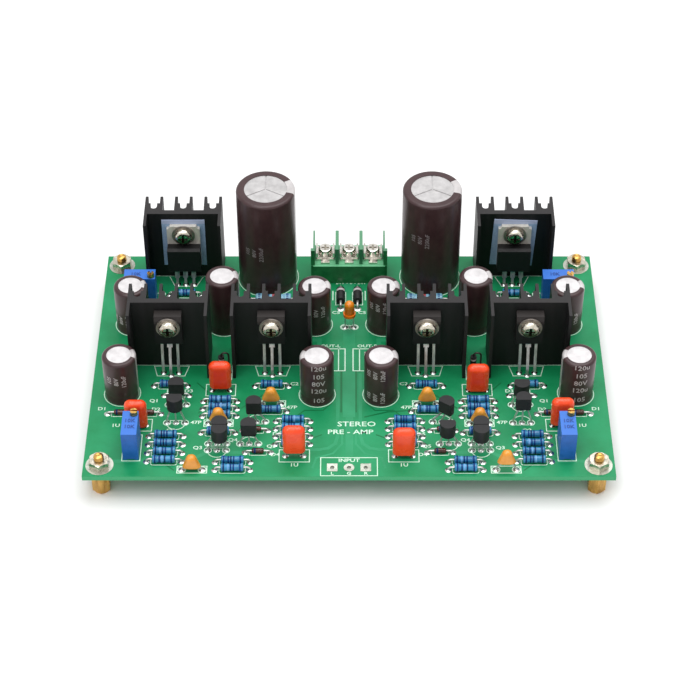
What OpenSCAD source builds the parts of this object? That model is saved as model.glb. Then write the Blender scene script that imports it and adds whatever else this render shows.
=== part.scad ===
// Stereo preamplifier circuit board with heat sinks, standing on four hexagonal standoffs.
// The origin is under the centre of the board, at the level the standoffs rest on.
// +X points right, +Y back to the power terminals, +Z up.
// The right channel is laid out here and the left one is its mirror image, apart from the
// heights, turns and leans that are given for each channel.

/* [Board] */
// Width of the board
board_w = 152; // [150:0.5:170]
// Depth of the board
board_d = 95; // [94.5:0.5:110]
// Thickness of the board
board_t = 1.6; // [1:0.1:2.4]
// Corner hole centre to side edge
corner_inset_x = 4.7; // [4.2:0.1:6]
// Corner hole centre to front or rear edge
corner_inset_y = 4.5; // [4.2:0.1:5.2]
// Diameter of the corner holes
corner_hole_d = 3.2; // [3.1:0.1:3.6]
// Diameter of the tinned ring round each corner hole
corner_ring_d = 8; // [6.8:0.1:8.4]
// Thickness of the tinned copper
copper_t = 0.1; // [0.05:0.01:0.2]
// Clearance round each lead in its hole
lead_gap = 0.12; // [0.08:0.01:0.2]
// Height of the solder cone under the board
solder_h = 1.1; // [0.6:0.1:1.6]
// Length of lead cut off below the solder cone
lead_stub = 0.5; // [0.2:0.1:1]

/* [Standoffs] */
// Length of a standoff below the board
standoff_h = 8; // [6:0.5:12]
// Width of a standoff across its flats
standoff_flats = 5; // [4.6:0.1:5.5]
// Diameter of the threaded stud
stud_d = 2.9; // [2.7:0.05:3]
// Height of the stud above its nut
stud_proud = 1.8; // [0.5:0.1:3]
// Diameter of the tapped hole in the foot
foot_bore_d = 2.5; // [2.3:0.1:2.7]
// Depth of the tapped hole in the foot
foot_bore_depth = 5; // [3:0.5:5.5]
// Width of a nut across its flats
nut_flats = 5.5; // [5:0.1:6]
// Thickness of a nut
nut_h = 2.4; // [1.8:0.1:3]

/* [Heat sinks] */
// Width of a heat sink
sink_w = 23.5; // [22.5:0.1:24]
// Height of a heat sink
sink_h = 25.3; // [24.5:0.1:35]
// Thickness of the base plate
sink_base_t = 1.8; // [1.5:0.1:2.2]
// Reach of the side flanges in front of the base plate
flange_reach = 5.7; // [4:0.1:6]
// Reach of the fins behind the front of the base plate
fin_reach = 8.3; // [7:0.1:8.6]
// Thickness of a fin
fin_t = 0.9; // [0.7:0.1:1.1]
// Number of fins, side flanges included
fin_count = 6; // [6:2:8]
// Depth of the rib that carries a pin groove
rib_d = 3.3; // [3:0.1:4]
// Width of a pin groove
groove_w = 2; // [1.6:0.1:2.2]
// Depth of a pin groove
groove_depth = 2.5; // [2.2:0.1:2.8]
// Depth to which a solder pin is pressed up into its groove
pin_grip = 6; // [4:0.5:10]
// Clearance of a solder pin in its groove
pin_gap = 0.05; // [0.03:0.01:0.1]

/* [Front power transistors] */
// Width of the case
power_w = 8; // [7.4:0.1:8.4]
// Height of the case
power_h = 10.8; // [10:0.1:11.5]
// Thickness of the case
power_t = 3.3; // [2.6:0.1:3.6]
// Height of the case above the board
power_lift = 11.4; // [10:0.1:13]
// Fixing hole to the top of the case
power_hole_drop = 3.75; // [3.5:0.05:4]
// Pitch of the leads
power_pitch = 2.29; // [2.2:0.01:2.6]
// Width of a lead
power_lead_w = 0.8; // [0.6:0.05:0.9]
// Width of the middle lead's shoulder
power_shoulder_w = 1.6; // [1.2:0.1:1.8]
// Height of the middle lead's shoulder
power_shoulder_h = 2; // [1.4:0.1:3]

/* [Rear power transistors] */
// Width of the metal tab
tab_w = 10.1; // [9.8:0.1:10.6]
// Thickness of the metal tab
tab_t = 1.3; // [1.1:0.1:1.5]
// Height of the plastic case
case_h = 9; // [8.5:0.1:9.5]
// Thickness of the plastic case in front of the tab
case_t = 3.2; // [2.8:0.1:3.5]
// Height of the case above the board
case_lift = 5.6; // [4.5:0.1:6]
// Height of the tab above the plastic case
tab_rise = 6.9; // [6.5:0.1:7.5]
// Fixing hole to the top of the tab
tab_hole_drop = 3.2; // [3:0.1:3.5]
// Diameter of the fixing hole in the tab
tab_hole_d = 3.7; // [3.4:0.1:4]
// Pitch of the leads
tab_pitch = 2.54; // [2.5:0.01:2.6]
// Width of a lead's shoulder
tab_shoulder_w = 1.4; // [1:0.1:1.6]
// Height of a lead's shoulder
tab_shoulder_h = 3; // [2:0.1:3.4]
// Width of the insulating pad
insulator_w = 13.2; // [11:0.1:14]
// Height of the insulating pad
insulator_h = 18.1; // [16:0.1:19]
// Thickness of the insulating pad
insulator_t = 0.3; // [0.2:0.05:0.5]
// Turn of the right insulating pad about its screw
insulator_turn = 2.5; // [0:0.5:4]

/* [Transistor screws] */
// Diameter of the thread
screw_d = 3; // [2.6:0.1:3]
// Clearance round the thread
screw_gap = 0.1; // [0.05:0.01:0.15]
// Diameter of the head
screw_head_d = 5.5; // [5:0.1:6]
// Height of the head
screw_head_h = 1.7; // [1.6:0.1:2.4]
// Rounding of the head's edge
screw_head_round = 1.3; // [0.8:0.1:1.4]
// Length of thread beyond the base plate
screw_proud = 1.6; // [0.5:0.1:3]
// Diameter of the washer
washer_d = 7; // [6:0.1:7.2]
// Thickness of the washer
washer_t = 0.5; // [0.4:0.1:0.8]

/* [Electrolytic capacitors] */
// Diameter of the large capacitors
large_d = 18; // [16:0.5:18]
// Height of the large capacitors
large_h = 35.5; // [30:0.5:40]
// Lead pitch of the large capacitors
large_pitch = 7.5; // [7.5:0.1:8]
// Diameter of the small capacitors
small_d = 10; // [8:0.5:10]
// Lead pitch of the small capacitors
small_pitch = 5; // [4.5:0.1:5.2]
// Height of the tall small capacitors
tall_h = 20; // [17:0.5:25]
// Height of the short small capacitors
short_h = 16; // [12:0.5:16.5]
// Thickness of the shrunk sleeve
sleeve_t = 0.2; // [0.15:0.05:0.3]
// Clearance between sleeve and can
sleeve_gap = 0.03; // [0.02:0.01:0.05]
// Width of the sleeve lip on the top of the can
lip_w = 1.2; // [0.6:0.1:1.4]
// Diameter of a capacitor lead
cap_lead_d = 0.7; // [0.5:0.1:0.8]

/* [Dipped capacitors] */
// Width of a film capacitor
film_w = 6.5; // [6:0.1:7]
// Thickness of a film capacitor
film_t = 3.2; // [2.6:0.1:3.4]
// Height of a film capacitor
film_h = 9.3; // [7:0.1:10]
// Lead pitch of a film capacitor
film_pitch = 5.08; // [4.8:0.01:5.2]
// Width of a ceramic capacitor at its foot
ceramic_w = 4.8; // [4.6:0.1:5.6]
// Thickness of a ceramic capacitor
ceramic_t = 2.6; // [2.2:0.1:2.8]
// Height of a ceramic capacitor
ceramic_h = 4.3; // [4:0.1:6]
// Radius of a ceramic capacitor's round top
ceramic_top_r = 1.4; // [1.2:0.1:1.6]
// Lead pitch of a ceramic capacitor at the board
ceramic_pitch = 5.8; // [5:0.1:6]

/* [Resistors and diodes] */
// Diameter of a resistor's end caps
resistor_d = 2.4; // [2:0.1:2.6]
// Length of a resistor's body
resistor_l = 6.5; // [6:0.1:7]
// Lead pitch of a resistor
resistor_pitch = 10; // [9.4:0.1:10.2]
// Diameter of a power resistor's body
load_d = 3.5; // [3:0.1:3.7]
// Length of a power resistor's body
load_l = 11; // [9:0.1:11.5]
// Lead pitch of a power resistor
load_pitch = 15; // [14:0.1:15.2]
// Diameter of a signal diode
signal_d = 1.6; // [1.5:0.1:2]
// Length of a signal diode
signal_l = 3.5; // [3.3:0.1:4.2]
// Lead pitch of a signal diode
signal_pitch = 7.4; // [7:0.1:7.6]
// Diameter of a rectifier diode
rectifier_d = 2.7; // [2.4:0.1:2.8]
// Length of a rectifier diode
rectifier_l = 5.2; // [4.8:0.1:5.4]
// Lead pitch of a rectifier diode
rectifier_pitch = 9.2; // [9:0.1:9.6]
// Diameter of an upright diode
upright_d = 1.8; // [1.6:0.1:2]
// Length of an upright diode
upright_l = 4; // [3.5:0.1:4.2]
// Height of an upright diode above the board
upright_lift = 2.6; // [1.5:0.1:3]
// Lead pitch of an upright diode
upright_pitch = 2.2; // [2:0.1:2.5]
// Diameter of a thin lead
thin_lead_d = 0.55; // [0.45:0.05:0.6]
// Diameter of a thick lead
thick_lead_d = 0.8; // [0.7:0.05:0.85]

/* [Small transistors and indicator] */
// Radius of a small transistor's round side
case_r = 2.3; // [2.1:0.1:2.4]
// Lead line to the flat side
flat_depth = 1.2; // [1:0.05:1.3]
// Height of a small transistor's case
small_case_h = 4.4; // [4:0.1:5]
// Lead pitch under the case
inner_pitch = 1.27; // [1.2:0.01:1.4]
// Lead pitch at the board
splay_pitch = 2.6; // [2.4:0.1:2.8]
// Width of a small square lead
wire_w = 0.45; // [0.35:0.05:0.5]
// Turn of the one crooked transistor
crooked_turn = 35; // [0:1:40]
// Diameter of the indicator lamp
lamp_d = 3; // [2.8:0.1:3.2]
// Diameter of the lamp's flange
lamp_flange_d = 3.8; // [3.4:0.1:4]
// Height of the lamp's body
lamp_h = 5.5; // [4.5:0.1:6]
// Height of the lamp above the board
lamp_lift = 5; // [3:0.1:7]
// Lead pitch of the lamp
lamp_pitch = 2.54; // [2.2:0.01:2.6]

/* [Trimmers] */
// Long side of a trimmer
trimmer_l = 9.5; // [9.2:0.1:10]
// Short side of a trimmer
trimmer_w = 4.5; // [4.4:0.1:5]
// Height of a trimmer's body
trimmer_h = 10; // [9:0.1:10.5]
// Height of a trimmer's feet
trimmer_foot = 0.3; // [0.2:0.1:0.5]
// Screw centre to the two nearest sides
trimmer_screw_inset = 1.27; // [1.25:0.01:1.4]
// Diameter of a trimmer's screw
trimmer_screw_d = 2.1; // [1.9:0.1:2.2]
// Height of a trimmer's screw above the body
trimmer_screw_proud = 1.4; // [0.8:0.1:1.8]
// Depth of a trimmer's screw in the body
trimmer_screw_seat = 2.5; // [2:0.1:4]
// Clearance round a trimmer's screw
turn_gap = 0.06; // [0.04:0.01:0.08]
// Pin pitch of a trimmer
trimmer_pitch = 2.54; // [2.4:0.01:2.6]

/* [Power terminals] */
// Pitch of the three ways
way_pitch = 7.4; // [7.2:0.1:7.8]
// Depth of the barrier walls
barrier_d = 9; // [8.6:0.1:9.4]
// Depth of the front ledge
ledge_d = 1.1; // [0.8:0.1:1.4]
// Height of the platform
platform_h = 7; // [6.5:0.1:9]
// Height of the barrier walls
barrier_h = 13; // [12.8:0.1:15]
// Thickness of a wall between two ways
barrier_t = 1; // [0.8:0.1:1.1]
// Width of the side ribs
side_rib = 0.7; // [0.5:0.1:0.9]
// Thickness of the metal strips
strip_t = 0.6; // [0.5:0.1:0.8]
// Width of a strip
strip_w = 5.4; // [5:0.1:5.8]
// Width of a strip's front tongue
tongue_w = 2.6; // [2:0.1:3]
// Width of a clamp plate
clamp_w = 5.7; // [5.5:0.1:5.9]
// Depth of a clamp plate
clamp_d = 4.8; // [4.4:0.1:5.2]
// Height of a clamp plate's ears
clamp_h = 2; // [1.6:0.1:2.4]
// Thickness of a clamp plate
clamp_t = 0.5; // [0.4:0.05:0.6]
// Diameter of a terminal screw's head
terminal_head_d = 4.2; // [4:0.1:4.4]
// Height of a terminal screw's head
terminal_head_h = 1.9; // [1.6:0.1:2.4]
// Diameter of a terminal screw's thread
terminal_screw_d = 2.9; // [2.5:0.1:3]
// Length of a terminal screw's thread
terminal_screw_l = 6.4; // [5:0.1:6.8]
// Clearance round a terminal screw
terminal_gap = 0.06; // [0.04:0.01:0.08]

/* [Hidden] */
$fn = 40;

// Levels of the two faces of the board
under = standoff_h;
top = standoff_h + board_t;

// Board that the places below were taken from: on another board they spread out or close up
plan = [152, 95];
function on_board(p) =
    [p[0] * board_w / plan[0], p[1] * board_d / plan[1], each [for (i = [2:1:len(p) - 1]) p[i]]];
function all_on_board(places) = [for (p = places) on_board(p)];

// Places on the right half of the board, as [x, y]
inner_sink = on_board([22.8, -1.9]);
outer_sink = on_board([53, -1.9]);
rear_sink = on_board([50.8, 38.2]);
large_places = all_on_board([[25.2, 37.8]]);
tall_places = all_on_board([[38, 15.9]]);
short_places = all_on_board([[66.9, -14], [9.4, -14.4], [65.8, 16.1], [10.4, 15.9]]);
film_places = all_on_board([[15.7, -39.4], [37.9, -12.6], [61.7, -27.1]]);
ceramic_places = all_on_board([[22.9, -18.4], [38, -26.3], [44.8, -44.8]]);

// Heights of the dipped capacitors above the board: the left channel's, then the right one's
film_lifts = [[2.6, 2.1, 0.6], [1.7, 1, 1.5]];
ceramic_lifts = [[2.2, 1.7, 1.2], [2.2, 1.7, 3.5]];
load_places = all_on_board([[23.3, 25.6]]);
signal_places = all_on_board([
    [67, -22.5], [58.7, -22.5], [50.9, -14.9], [26.2, -38.1], [27.2, -29.3]
]);
rectifier_places = all_on_board([[2.6, 27.6]]);
upright_places = all_on_board([[-37.9, -5], [36.9, -5]]);
front_trimmer = on_board([62.5, -36.2]);
rear_trimmer = on_board([64.1, 27.4]);
lamp_place = on_board([0.1, 14.7]);
terminal_place = on_board([0, 40.3]);

// Stacks of resistors as [x, y of the rearmost, pitch, count]
resistor_stacks = [
    [53, -31.7, 3.35, 4], [16.3, -25.6, 3.1, 4], [37.9, -17.4, 3.05, 3], [33.3, -42, 3, 2],
    [52.8, -10.9, 0, 1], [22.9, -11, 0, 1], [38, -30.3, 0, 1], [23.2, -21.5, 0, 1],
    [50.7, 29.2, 0, 1]
];
resistor_places = all_on_board([
    for (s = resistor_stacks) for (i = [0:s[3] - 1]) [s[0], s[1] - i * s[2]]
]);

// Small transistors as [x, y, height above the board]
small_transistor_places = all_on_board([
    [50.4, -26.1, 6.3], [50.4, -18.7, 5], [38, -34.6, 5], [38, -37.2, 5],
    [27, -25.7, 4.3], [28.8, -34.6, 4.3]
]);

// Their turns, left channel's then right one's: a turn of 0 has the flat side in front
small_turns = [[180, 0, 0, 180, 0, 0], [0, 180, 0, 180, -crooked_turn, 180]];

// How far each case leans outward from its three holes, left channel's then right one's
small_leans = [[0, 0, -0.9, -0.9, 0.6, 0], [0, 0, -0.2, -0.2, 1.2, -0.5]];

// Bare wire pads at the signal input and at the two outputs
input_pad_pitch = 4.8;
input_pad_inset = 3.5;
input_pad_y = input_pad_inset - board_d / 2;
output_pads = all_on_board([[5.8, 2.6], [5.8, -0.9]]);
input_pad_w = 3;
output_pad_w = 2.4;
wire_hole_d = 1.3;

channel_side = [-1, 1];
corner = [board_w / 2 - corner_inset_x, board_d / 2 - corner_inset_y];
fin_pitch = (sink_w - fin_t) / (fin_count - 1);
pin_r = groove_w / 2 - pin_gap;
pin_y = sink_base_t + rib_d - groove_depth + groove_w / 2;
pin_x = sink_w / 2 - fin_t / 2 - fin_pitch / 2;
thread_hole_d = screw_d + 2 * screw_gap;
nut_gap = 0.05;
power_hole_z = power_lift + power_h - power_hole_drop;
tab_hole_z = case_lift + case_h + tab_rise - tab_hole_drop;
tab_y = rear_sink[1] - insulator_t;
power_lead_t = 0.5;
power_lead_y = inner_sink[1] - power_t / 2;
power_feet = [-3.3, -4.4, -3.3];
power_foot_y = [for (step = power_feet) inner_sink[1] + step];
tab_lead_reach = 1.2;
tab_lead_y = tab_y - tab_t - tab_lead_reach;
tab_foot_reach = 4;
tab_foot_y = rear_sink[1] - tab_foot_reach;
insulator_rise = 4.7;
seal_h = 1.8;
can_wall = 0.5;
can_edge = 0.9;
film_edge = 1.75;
thin_bend = 0.8;
thick_bend = 1;
trimmer_screw_x = trimmer_w / 2 - trimmer_screw_inset;
trimmer_screw_y = trimmer_l / 2 - trimmer_screw_inset;
trimmer_pin_d = 0.55;
barrier_front = terminal_place[1] - barrier_d / 2;
barrier_back = terminal_place[1] + barrier_d / 2;
terminal_w = 3 * way_pitch;
terminal_pin_w = 1;
terminal_pin_y = barrier_back - 1.4;
clamp_z = platform_h + strip_t;
clamp_bend = clamp_w / 2 - terminal_head_d / 2 - 0.05;
terminal_depth = terminal_screw_l + 0.4;
terminal_head_round = 0.5;
tongue_l = 3;
strip_edge = 0.4;
vent_edge = 2;
vent_w = 0.4;
way_x = [-way_pitch, 0, way_pitch];

// Radius of the hole that a flat lead passes through
function flat_r(w, t) = norm([w, t]) / 2;

// Lead places as [x, y, radius]
function along_x(places, pitch, r) =
    [for (p = places) for (side = [-1, 1]) [p[0] + side * pitch / 2, p[1], r]];
function along_y(places, pitch, r) =
    [for (p = places) for (side = [-1, 1]) [p[0], p[1] + side * pitch / 2, r]];
function three_in_row(places, pitch, r) =
    [for (p = places) for (i = [-1:1]) [p[0] + i * pitch, p[1], r]];
function mirrored(spots) = concat(spots, [for (s = spots) [-s[0], s[1], s[2]]]);

sinks = [inner_sink, outer_sink, rear_sink];
power_hole_r = flat_r(power_lead_w, power_lead_t);
right_leads = concat(
    along_x(large_places, large_pitch, cap_lead_d / 2),
    along_x(concat(tall_places, short_places), small_pitch, cap_lead_d / 2),
    along_x(film_places, film_pitch, thin_lead_d / 2),
    along_x(ceramic_places, ceramic_pitch, flat_r(wire_w, wire_w)),
    along_x(resistor_places, resistor_pitch, thin_lead_d / 2),
    along_x(load_places, load_pitch, thick_lead_d / 2),
    along_x(signal_places, signal_pitch, thin_lead_d / 2),
    along_y(rectifier_places, rectifier_pitch, thick_lead_d / 2),
    three_in_row(small_transistor_places, splay_pitch, flat_r(wire_w, wire_w)),
    [for (i = [-1:1]) [front_trimmer[0], front_trimmer[1] + i * trimmer_pitch, trimmer_pin_d / 2]],
    three_in_row([rear_trimmer], trimmer_pitch, trimmer_pin_d / 2),
    [for (s = [inner_sink, outer_sink]) for (i = [0:2])
        [s[0] + (i - 1) * power_pitch, power_foot_y[i], power_hole_r]],
    three_in_row([[rear_sink[0], tab_foot_y]], tab_pitch, power_hole_r),
    [for (s = sinks) for (side = [-1, 1]) [s[0] + side * pin_x, s[1] + pin_y, pin_r]]
);
middle_leads = concat(
    along_x([lamp_place], lamp_pitch, flat_r(wire_w, wire_w)),
    [for (x = way_x) [terminal_place[0] + x, terminal_pin_y, flat_r(terminal_pin_w, strip_t)]],
    [for (p = upright_places) for (x = [0, upright_pitch]) [p[0] + x, p[1], thin_lead_d / 2]]
);
leads = concat(mirrored(right_leads), middle_leads);

// Wire pads as [x, y, width, round or not]
wire_pads_at = concat(
    [for (i = [-1:1]) [i * input_pad_pitch, input_pad_y, input_pad_w, i == 0]],
    [for (side = channel_side) for (i = [0, 1])
        [side * output_pads[i][0], output_pads[i][1], output_pad_w, i == 1]]
);

module both_channels() {
    children();
    mirror([1, 0, 0]) children();
}

module at_corners() {
    for (x = [-1, 1])
        for (y = [-1, 1])
            translate([x * corner[0], y * corner[1], 0]) children();
}

module at_places(places, z) {
    for (p = places)
        translate([p[0], p[1], z]) children();
}

// Children on the places of both channels, each at its own height above the board
module at_lifted(places, lifts) {
    for (channel = [0, 1])
        for (i = [0:len(places) - 1])
            translate([channel_side[channel] * places[i][0], places[i][1], top + lifts[channel][i]])
                children();
}

// Wide top of a lead drawn by cranked_lead, of height h
module lead_shoulder(x_top, x_foot, z_top, w, t, h) {
    knee = top + 0.2 * (z_top - top);
    neck = z_top - 0.1 * (z_top - top);
    x_low = x_top + (x_foot - x_top) * (neck - z_top + h) / (neck - knee);
    rotate([90, 0, 0])
        linear_extrude(t, center = true)
            polygon([
                [x_top - w / 2, z_top], [x_top + w / 2, z_top], [x_top + w / 2, neck],
                [x_low + w / 2, z_top - h], [x_low - w / 2, z_top - h], [x_top - w / 2, neck]
            ]);
}

// Round bar along the line from the lead's seat down to the underside of the board
module lead_down(z, r) {
    translate([0, 0, under]) cylinder(h = z - under, r = r);
}

// Flat lead in the XZ plane that runs from x_top to x_foot, with straight ends
module cranked_lead(x_top, x_foot, z_top, w, t) {
    knee = top + 0.2 * (z_top - top);
    neck = z_top - 0.1 * (z_top - top);
    rotate([90, 0, 0])
        linear_extrude(t, center = true)
            polygon([
                [x_top - w / 2, z_top], [x_top + w / 2, z_top], [x_top + w / 2, neck],
                [x_foot + w / 2, knee], [x_foot + w / 2, under], [x_foot - w / 2, under],
                [x_foot - w / 2, knee], [x_top - w / 2, neck]
            ]);
}

// Wire that leaves a body along +X at height z, bends down and goes through the board
module bent_wire(start, foot, z, r, bend) {
    translate([start, 0, z]) rotate([0, 90, 0]) cylinder(h = foot - bend - start, r = r);
    translate([foot - bend, 0, z - bend])
        rotate([90, 0, 0])
            rotate_extrude(angle = 90) translate([bend, 0]) circle(r = r);
    translate([foot, 0, under]) cylinder(h = z - bend - under, r = r);
}

module wire_pair(length, pitch, z, r, bend) {
    for (side = [0, 180])
        rotate([0, 0, side]) bent_wire(length / 2, pitch / 2, z, r, bend);
}

// Rectangle with rounded corners that stay true arcs
module rounded_box(w, h, r) {
    square([w - 2 * r, h], center = true);
    square([w, h - 2 * r], center = true);
    for (x = [-1, 1])
        for (y = [-1, 1])
            translate([x * (w / 2 - r), y * (h / 2 - r)]) circle(r = r);
}

// Body that was dipped in resin: width w, thickness t, top corners of radius r
module dipped_body(w, t, h, r) {
    side_x = w / 2 - r;
    linear_extrude(h - r) rounded_box(w, t, t / 2 - 0.01);
    for (x = side_x > 0.01 ? [-side_x, side_x] : [0])
        translate([x, 0, h - r])
            rotate([90, 0, 0])
                rotate_extrude(angle = 180) {
                    translate([0, -t / 2]) square([r - t / 2, t]);
                    intersection() {
                        translate([r - t / 2, 0]) circle(d = t);
                        translate([0, -t / 2]) square([r, t]);
                    }
                }
    if (side_x > 0.01)
        translate([-side_x, 0, h - r])
            rotate([90, 0, 90])
                linear_extrude(2 * side_x) {
                    translate([-t / 2, 0]) square([t, r - t / 2]);
                    translate([0, r - t / 2]) circle(d = t);
                }
}

// Drop of resin round a disc: foot of width w and thickness t, height h, radius r at the top
module dipped_drop(w, t, h, r) {
    lean = 15;
    shoulder = [r * cos(lean), h - r + r * sin(lean)];
    intersection() {
        linear_extrude(h) rounded_box(w, t, t / 2 - 0.01);
        rotate([90, 0, 0])
            linear_extrude(t + 1, center = true) {
                polygon([[-w / 2, 0], [w / 2, 0], shoulder, [-shoulder[0], shoulder[1]]]);
                translate([0, h - r]) circle(r = r);
            }
    }
}

// Cross of a cross-head recess, cut down from z = 0
module cross_recess(span, w, depth) {
    for (turn = [0, 90])
        rotate([0, 0, turn])
            translate([-span / 2, -w / 2, -depth]) cube([span, w, depth + 1]);
}

// Screw along Z: its head stands on z = 0 and its thread goes down
module cross_head_screw(d, length, head_d, head_h, edge) {
    difference() {
        union() {
            translate([0, 0, -length]) cylinder(h = length + edge, d = d);
            rotate_extrude()
                intersection() {
                    union() {
                        square([head_d / 2, head_h - edge]);
                        square([head_d / 2 - edge, head_h]);
                        translate([head_d / 2 - edge, head_h - edge]) circle(r = edge);
                    }
                    square([head_d, head_h]);
                }
        }
        translate([0, 0, head_h]) cross_recess(head_d * 0.55, head_d * 0.14, head_h * 0.55);
    }
}

// Outline of an electrolytic can: rounded top edge and rolled crimp near the foot
module can_outline(r, h) {
    crimp_r = 1.2;
    crimp_z = 2.6;
    difference() {
        union() {
            square([r, h - can_edge]);
            square([r - can_edge, h]);
            translate([r - can_edge, h - can_edge]) circle(r = can_edge);
        }
        translate([r + crimp_r - 0.35, crimp_z]) circle(r = crimp_r);
    }
}

module can(d, h, scored) {
    r = d / 2 - sleeve_t - sleeve_gap;
    difference() {
        rotate_extrude() difference() {
            can_outline(r, h - sleeve_t);
            square([r - can_wall - 0.4, seal_h]);
        }
        if (scored)
            for (turn = [90, 210, 330])
                rotate([0, 0, turn])
                    translate([0, -vent_w / 2, h - sleeve_t - vent_w / 2]) cube([r - vent_edge, vent_w, 1]);
    }
}

module sleeve(d, h) {
    r = d / 2;
    rotate_extrude() difference() {
        can_outline(r, h);
        can_outline(r - sleeve_t, h - sleeve_t);
        square([r - sleeve_t - lip_w, h + 1]);
    }
}

module seal(d, pitch) {
    difference() {
        cylinder(h = seal_h, r = d / 2 - sleeve_t - sleeve_gap - can_wall - 0.45);
        for (x = [-1, 1])
            translate([x * pitch / 2, 0, -1]) cylinder(h = seal_h + 2, r = cap_lead_d / 2 + 0.05);
    }
}

// Body of an axial part along X with thicker ends
module axial_body(length, d, waist, edge) {
    cap_l = length * 0.22;
    rotate([0, 90, 0])
        rotate_extrude() {
            translate([0, -length / 2 + edge]) square([waist / 2, length - 2 * edge]);
            for (z = [-1, 1])
                translate([0, z * (length - cap_l) / 2])
                    intersection() {
                        rounded_box(d, cap_l, edge);
                        translate([0, -cap_l]) square([d, 2 * cap_l]);
                    }
        }
}

module circuit_board() {
    color("seagreen")
        translate([0, 0, under])
            linear_extrude(board_t)
                difference() {
                    square([board_w, board_d], center = true);
                    at_corners() circle(d = corner_hole_d);
                    for (s = leads)
                        translate([s[0], s[1]]) circle(r = s[2] + lead_gap);
                    for (s = wire_pads_at)
                        translate([s[0], s[1]]) circle(d = wire_hole_d);
                }
}

module corner_rings() {
    color("silver")
        at_corners()
            translate([0, 0, top])
                difference() {
                    cylinder(h = copper_t, d = corner_ring_d);
                    translate([0, 0, -1]) cylinder(h = copper_t + 2, d = corner_hole_d);
                }
}

module wire_pads() {
    color("silver")
        for (s = wire_pads_at)
            translate([s[0], s[1], top])
                linear_extrude(copper_t)
                    difference() {
                        if (s[3])
                            circle(d = s[2]);
                        else
                            square(s[2], center = true);
                        circle(d = wire_hole_d);
                    }
}

module standoffs() {
    stud_top = top + copper_t + nut_h + stud_proud;
    color("goldenrod")
        at_corners()
            difference() {
                union() {
                    rotate([0, 0, 30]) cylinder(h = under, d = standoff_flats / cos(30), $fn = 6);
                    cylinder(h = stud_top, d = stud_d);
                }
                translate([0, 0, -1]) cylinder(h = foot_bore_depth + 1, d = foot_bore_d);
            }
}

module standoff_nuts() {
    corner_d = nut_flats / cos(30);
    chamfer = 0.35;
    color("gainsboro")
        at_corners()
            translate([0, 0, top + copper_t])
                difference() {
                    intersection() {
                        rotate([0, 0, 30]) cylinder(h = nut_h, d = corner_d, $fn = 6);
                        union() {
                            cylinder(h = nut_h - chamfer, d = corner_d + 0.1);
                            translate([0, 0, nut_h - chamfer])
                                cylinder(h = chamfer, d1 = corner_d + 0.1, d2 = nut_flats);
                        }
                    }
                    translate([0, 0, -1]) cylinder(h = nut_h + 2, r = stud_d / 2 + nut_gap);
                }
}

// Extrusion profile: the front of the base plate lies on y = 0
module sink_profile() {
    translate([-sink_w / 2, 0]) square([sink_w, sink_base_t]);
    for (i = [0:fin_count - 1]) {
        front = i == 0 || i == fin_count - 1 ? flange_reach : 0;
        translate([-sink_w / 2 + i * fin_pitch, -front]) square([fin_t, front + fin_reach]);
    }
    for (i = [0:2:fin_count - 2])
        translate([-sink_w / 2 + fin_t / 2 + (i + 0.5) * fin_pitch, sink_base_t])
            difference() {
                translate([-fin_pitch / 2, 0]) square([fin_pitch, rib_d]);
                translate([0, rib_d - groove_depth + groove_w / 2]) circle(d = groove_w);
                translate([-groove_w / 2, rib_d - groove_depth + groove_w / 2])
                    square([groove_w, groove_depth]);
            }
}

module heat_sink(place, hole_z) {
    color([0.1, 0.1, 0.1])
        translate([place[0], place[1], top])
            difference() {
                linear_extrude(sink_h) sink_profile();
                translate([0, -1, hole_z])
                    rotate([-90, 0, 0]) cylinder(h = sink_base_t + rib_d + 2, d = thread_hole_d);
            }
}

module heat_sink_pins() {
    color("silver")
        both_channels()
            for (s = sinks)
                for (side = [-1, 1])
                    translate([s[0] + side * pin_x, s[1] + pin_y, under])
                        cylinder(h = board_t + pin_grip, r = pin_r);
}

module front_power_transistors() {
    bevel = 0.5;
    color([0.13, 0.13, 0.13])
        both_channels()
            for (s = [inner_sink, outer_sink])
                translate([s[0], s[1], top + power_lift])
                    difference() {
                        rotate([90, 0, 90])
                            linear_extrude(power_w, center = true)
                                polygon([
                                    [0, 0], [0, power_h], [-power_t + bevel, power_h],
                                    [-power_t, power_h - 3 * bevel], [-power_t, bevel],
                                    [-power_t + bevel, 0]
                                ]);
                        translate([0, 1, power_h - power_hole_drop])
                            rotate([90, 0, 0]) cylinder(h = power_t + 2, d = thread_hole_d);
                    }
}

module front_power_transistor_leads() {
    color("silver")
        both_channels()
            for (s = [inner_sink, outer_sink])
                for (i = [0:2])
                    translate([s[0] + (i - 1) * power_pitch, 0, 0])
                        rotate([0, 0, 90]) {
                            cranked_lead(power_lead_y, power_foot_y[i], top + power_lift,
                                         power_lead_t, power_lead_w);
                            if (i == 1)
                                lead_shoulder(power_lead_y, power_foot_y[i], top + power_lift,
                                              power_lead_t, power_shoulder_w, power_shoulder_h);
                        }
}

module rear_power_transistor_cases() {
    bevel = 0.5;
    color([0.12, 0.12, 0.12])
        both_channels()
            translate([rear_sink[0], tab_y - tab_t, top + case_lift])
                rotate([90, 0, 90])
                    linear_extrude(tab_w, center = true)
                        polygon([
                            [0, 0], [0, case_h], [-case_t + 2 * bevel, case_h],
                            [-case_t, case_h - bevel], [-case_t, bevel], [-case_t + bevel, 0]
                        ]);
}

module rear_power_transistor_tabs() {
    tab_h = case_h + tab_rise;
    color("silver")
        both_channels()
            translate([rear_sink[0], tab_y, top + case_lift])
                rotate([90, 0, 0])
                    linear_extrude(tab_t)
                        difference() {
                            translate([-tab_w / 2, 0]) square([tab_w, tab_h]);
                            translate([0, tab_h - tab_hole_drop]) circle(d = tab_hole_d);
                            for (x = [-1, 1])
                                translate([x * tab_w / 2, tab_h]) circle(r = 1);
                        }
}

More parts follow.
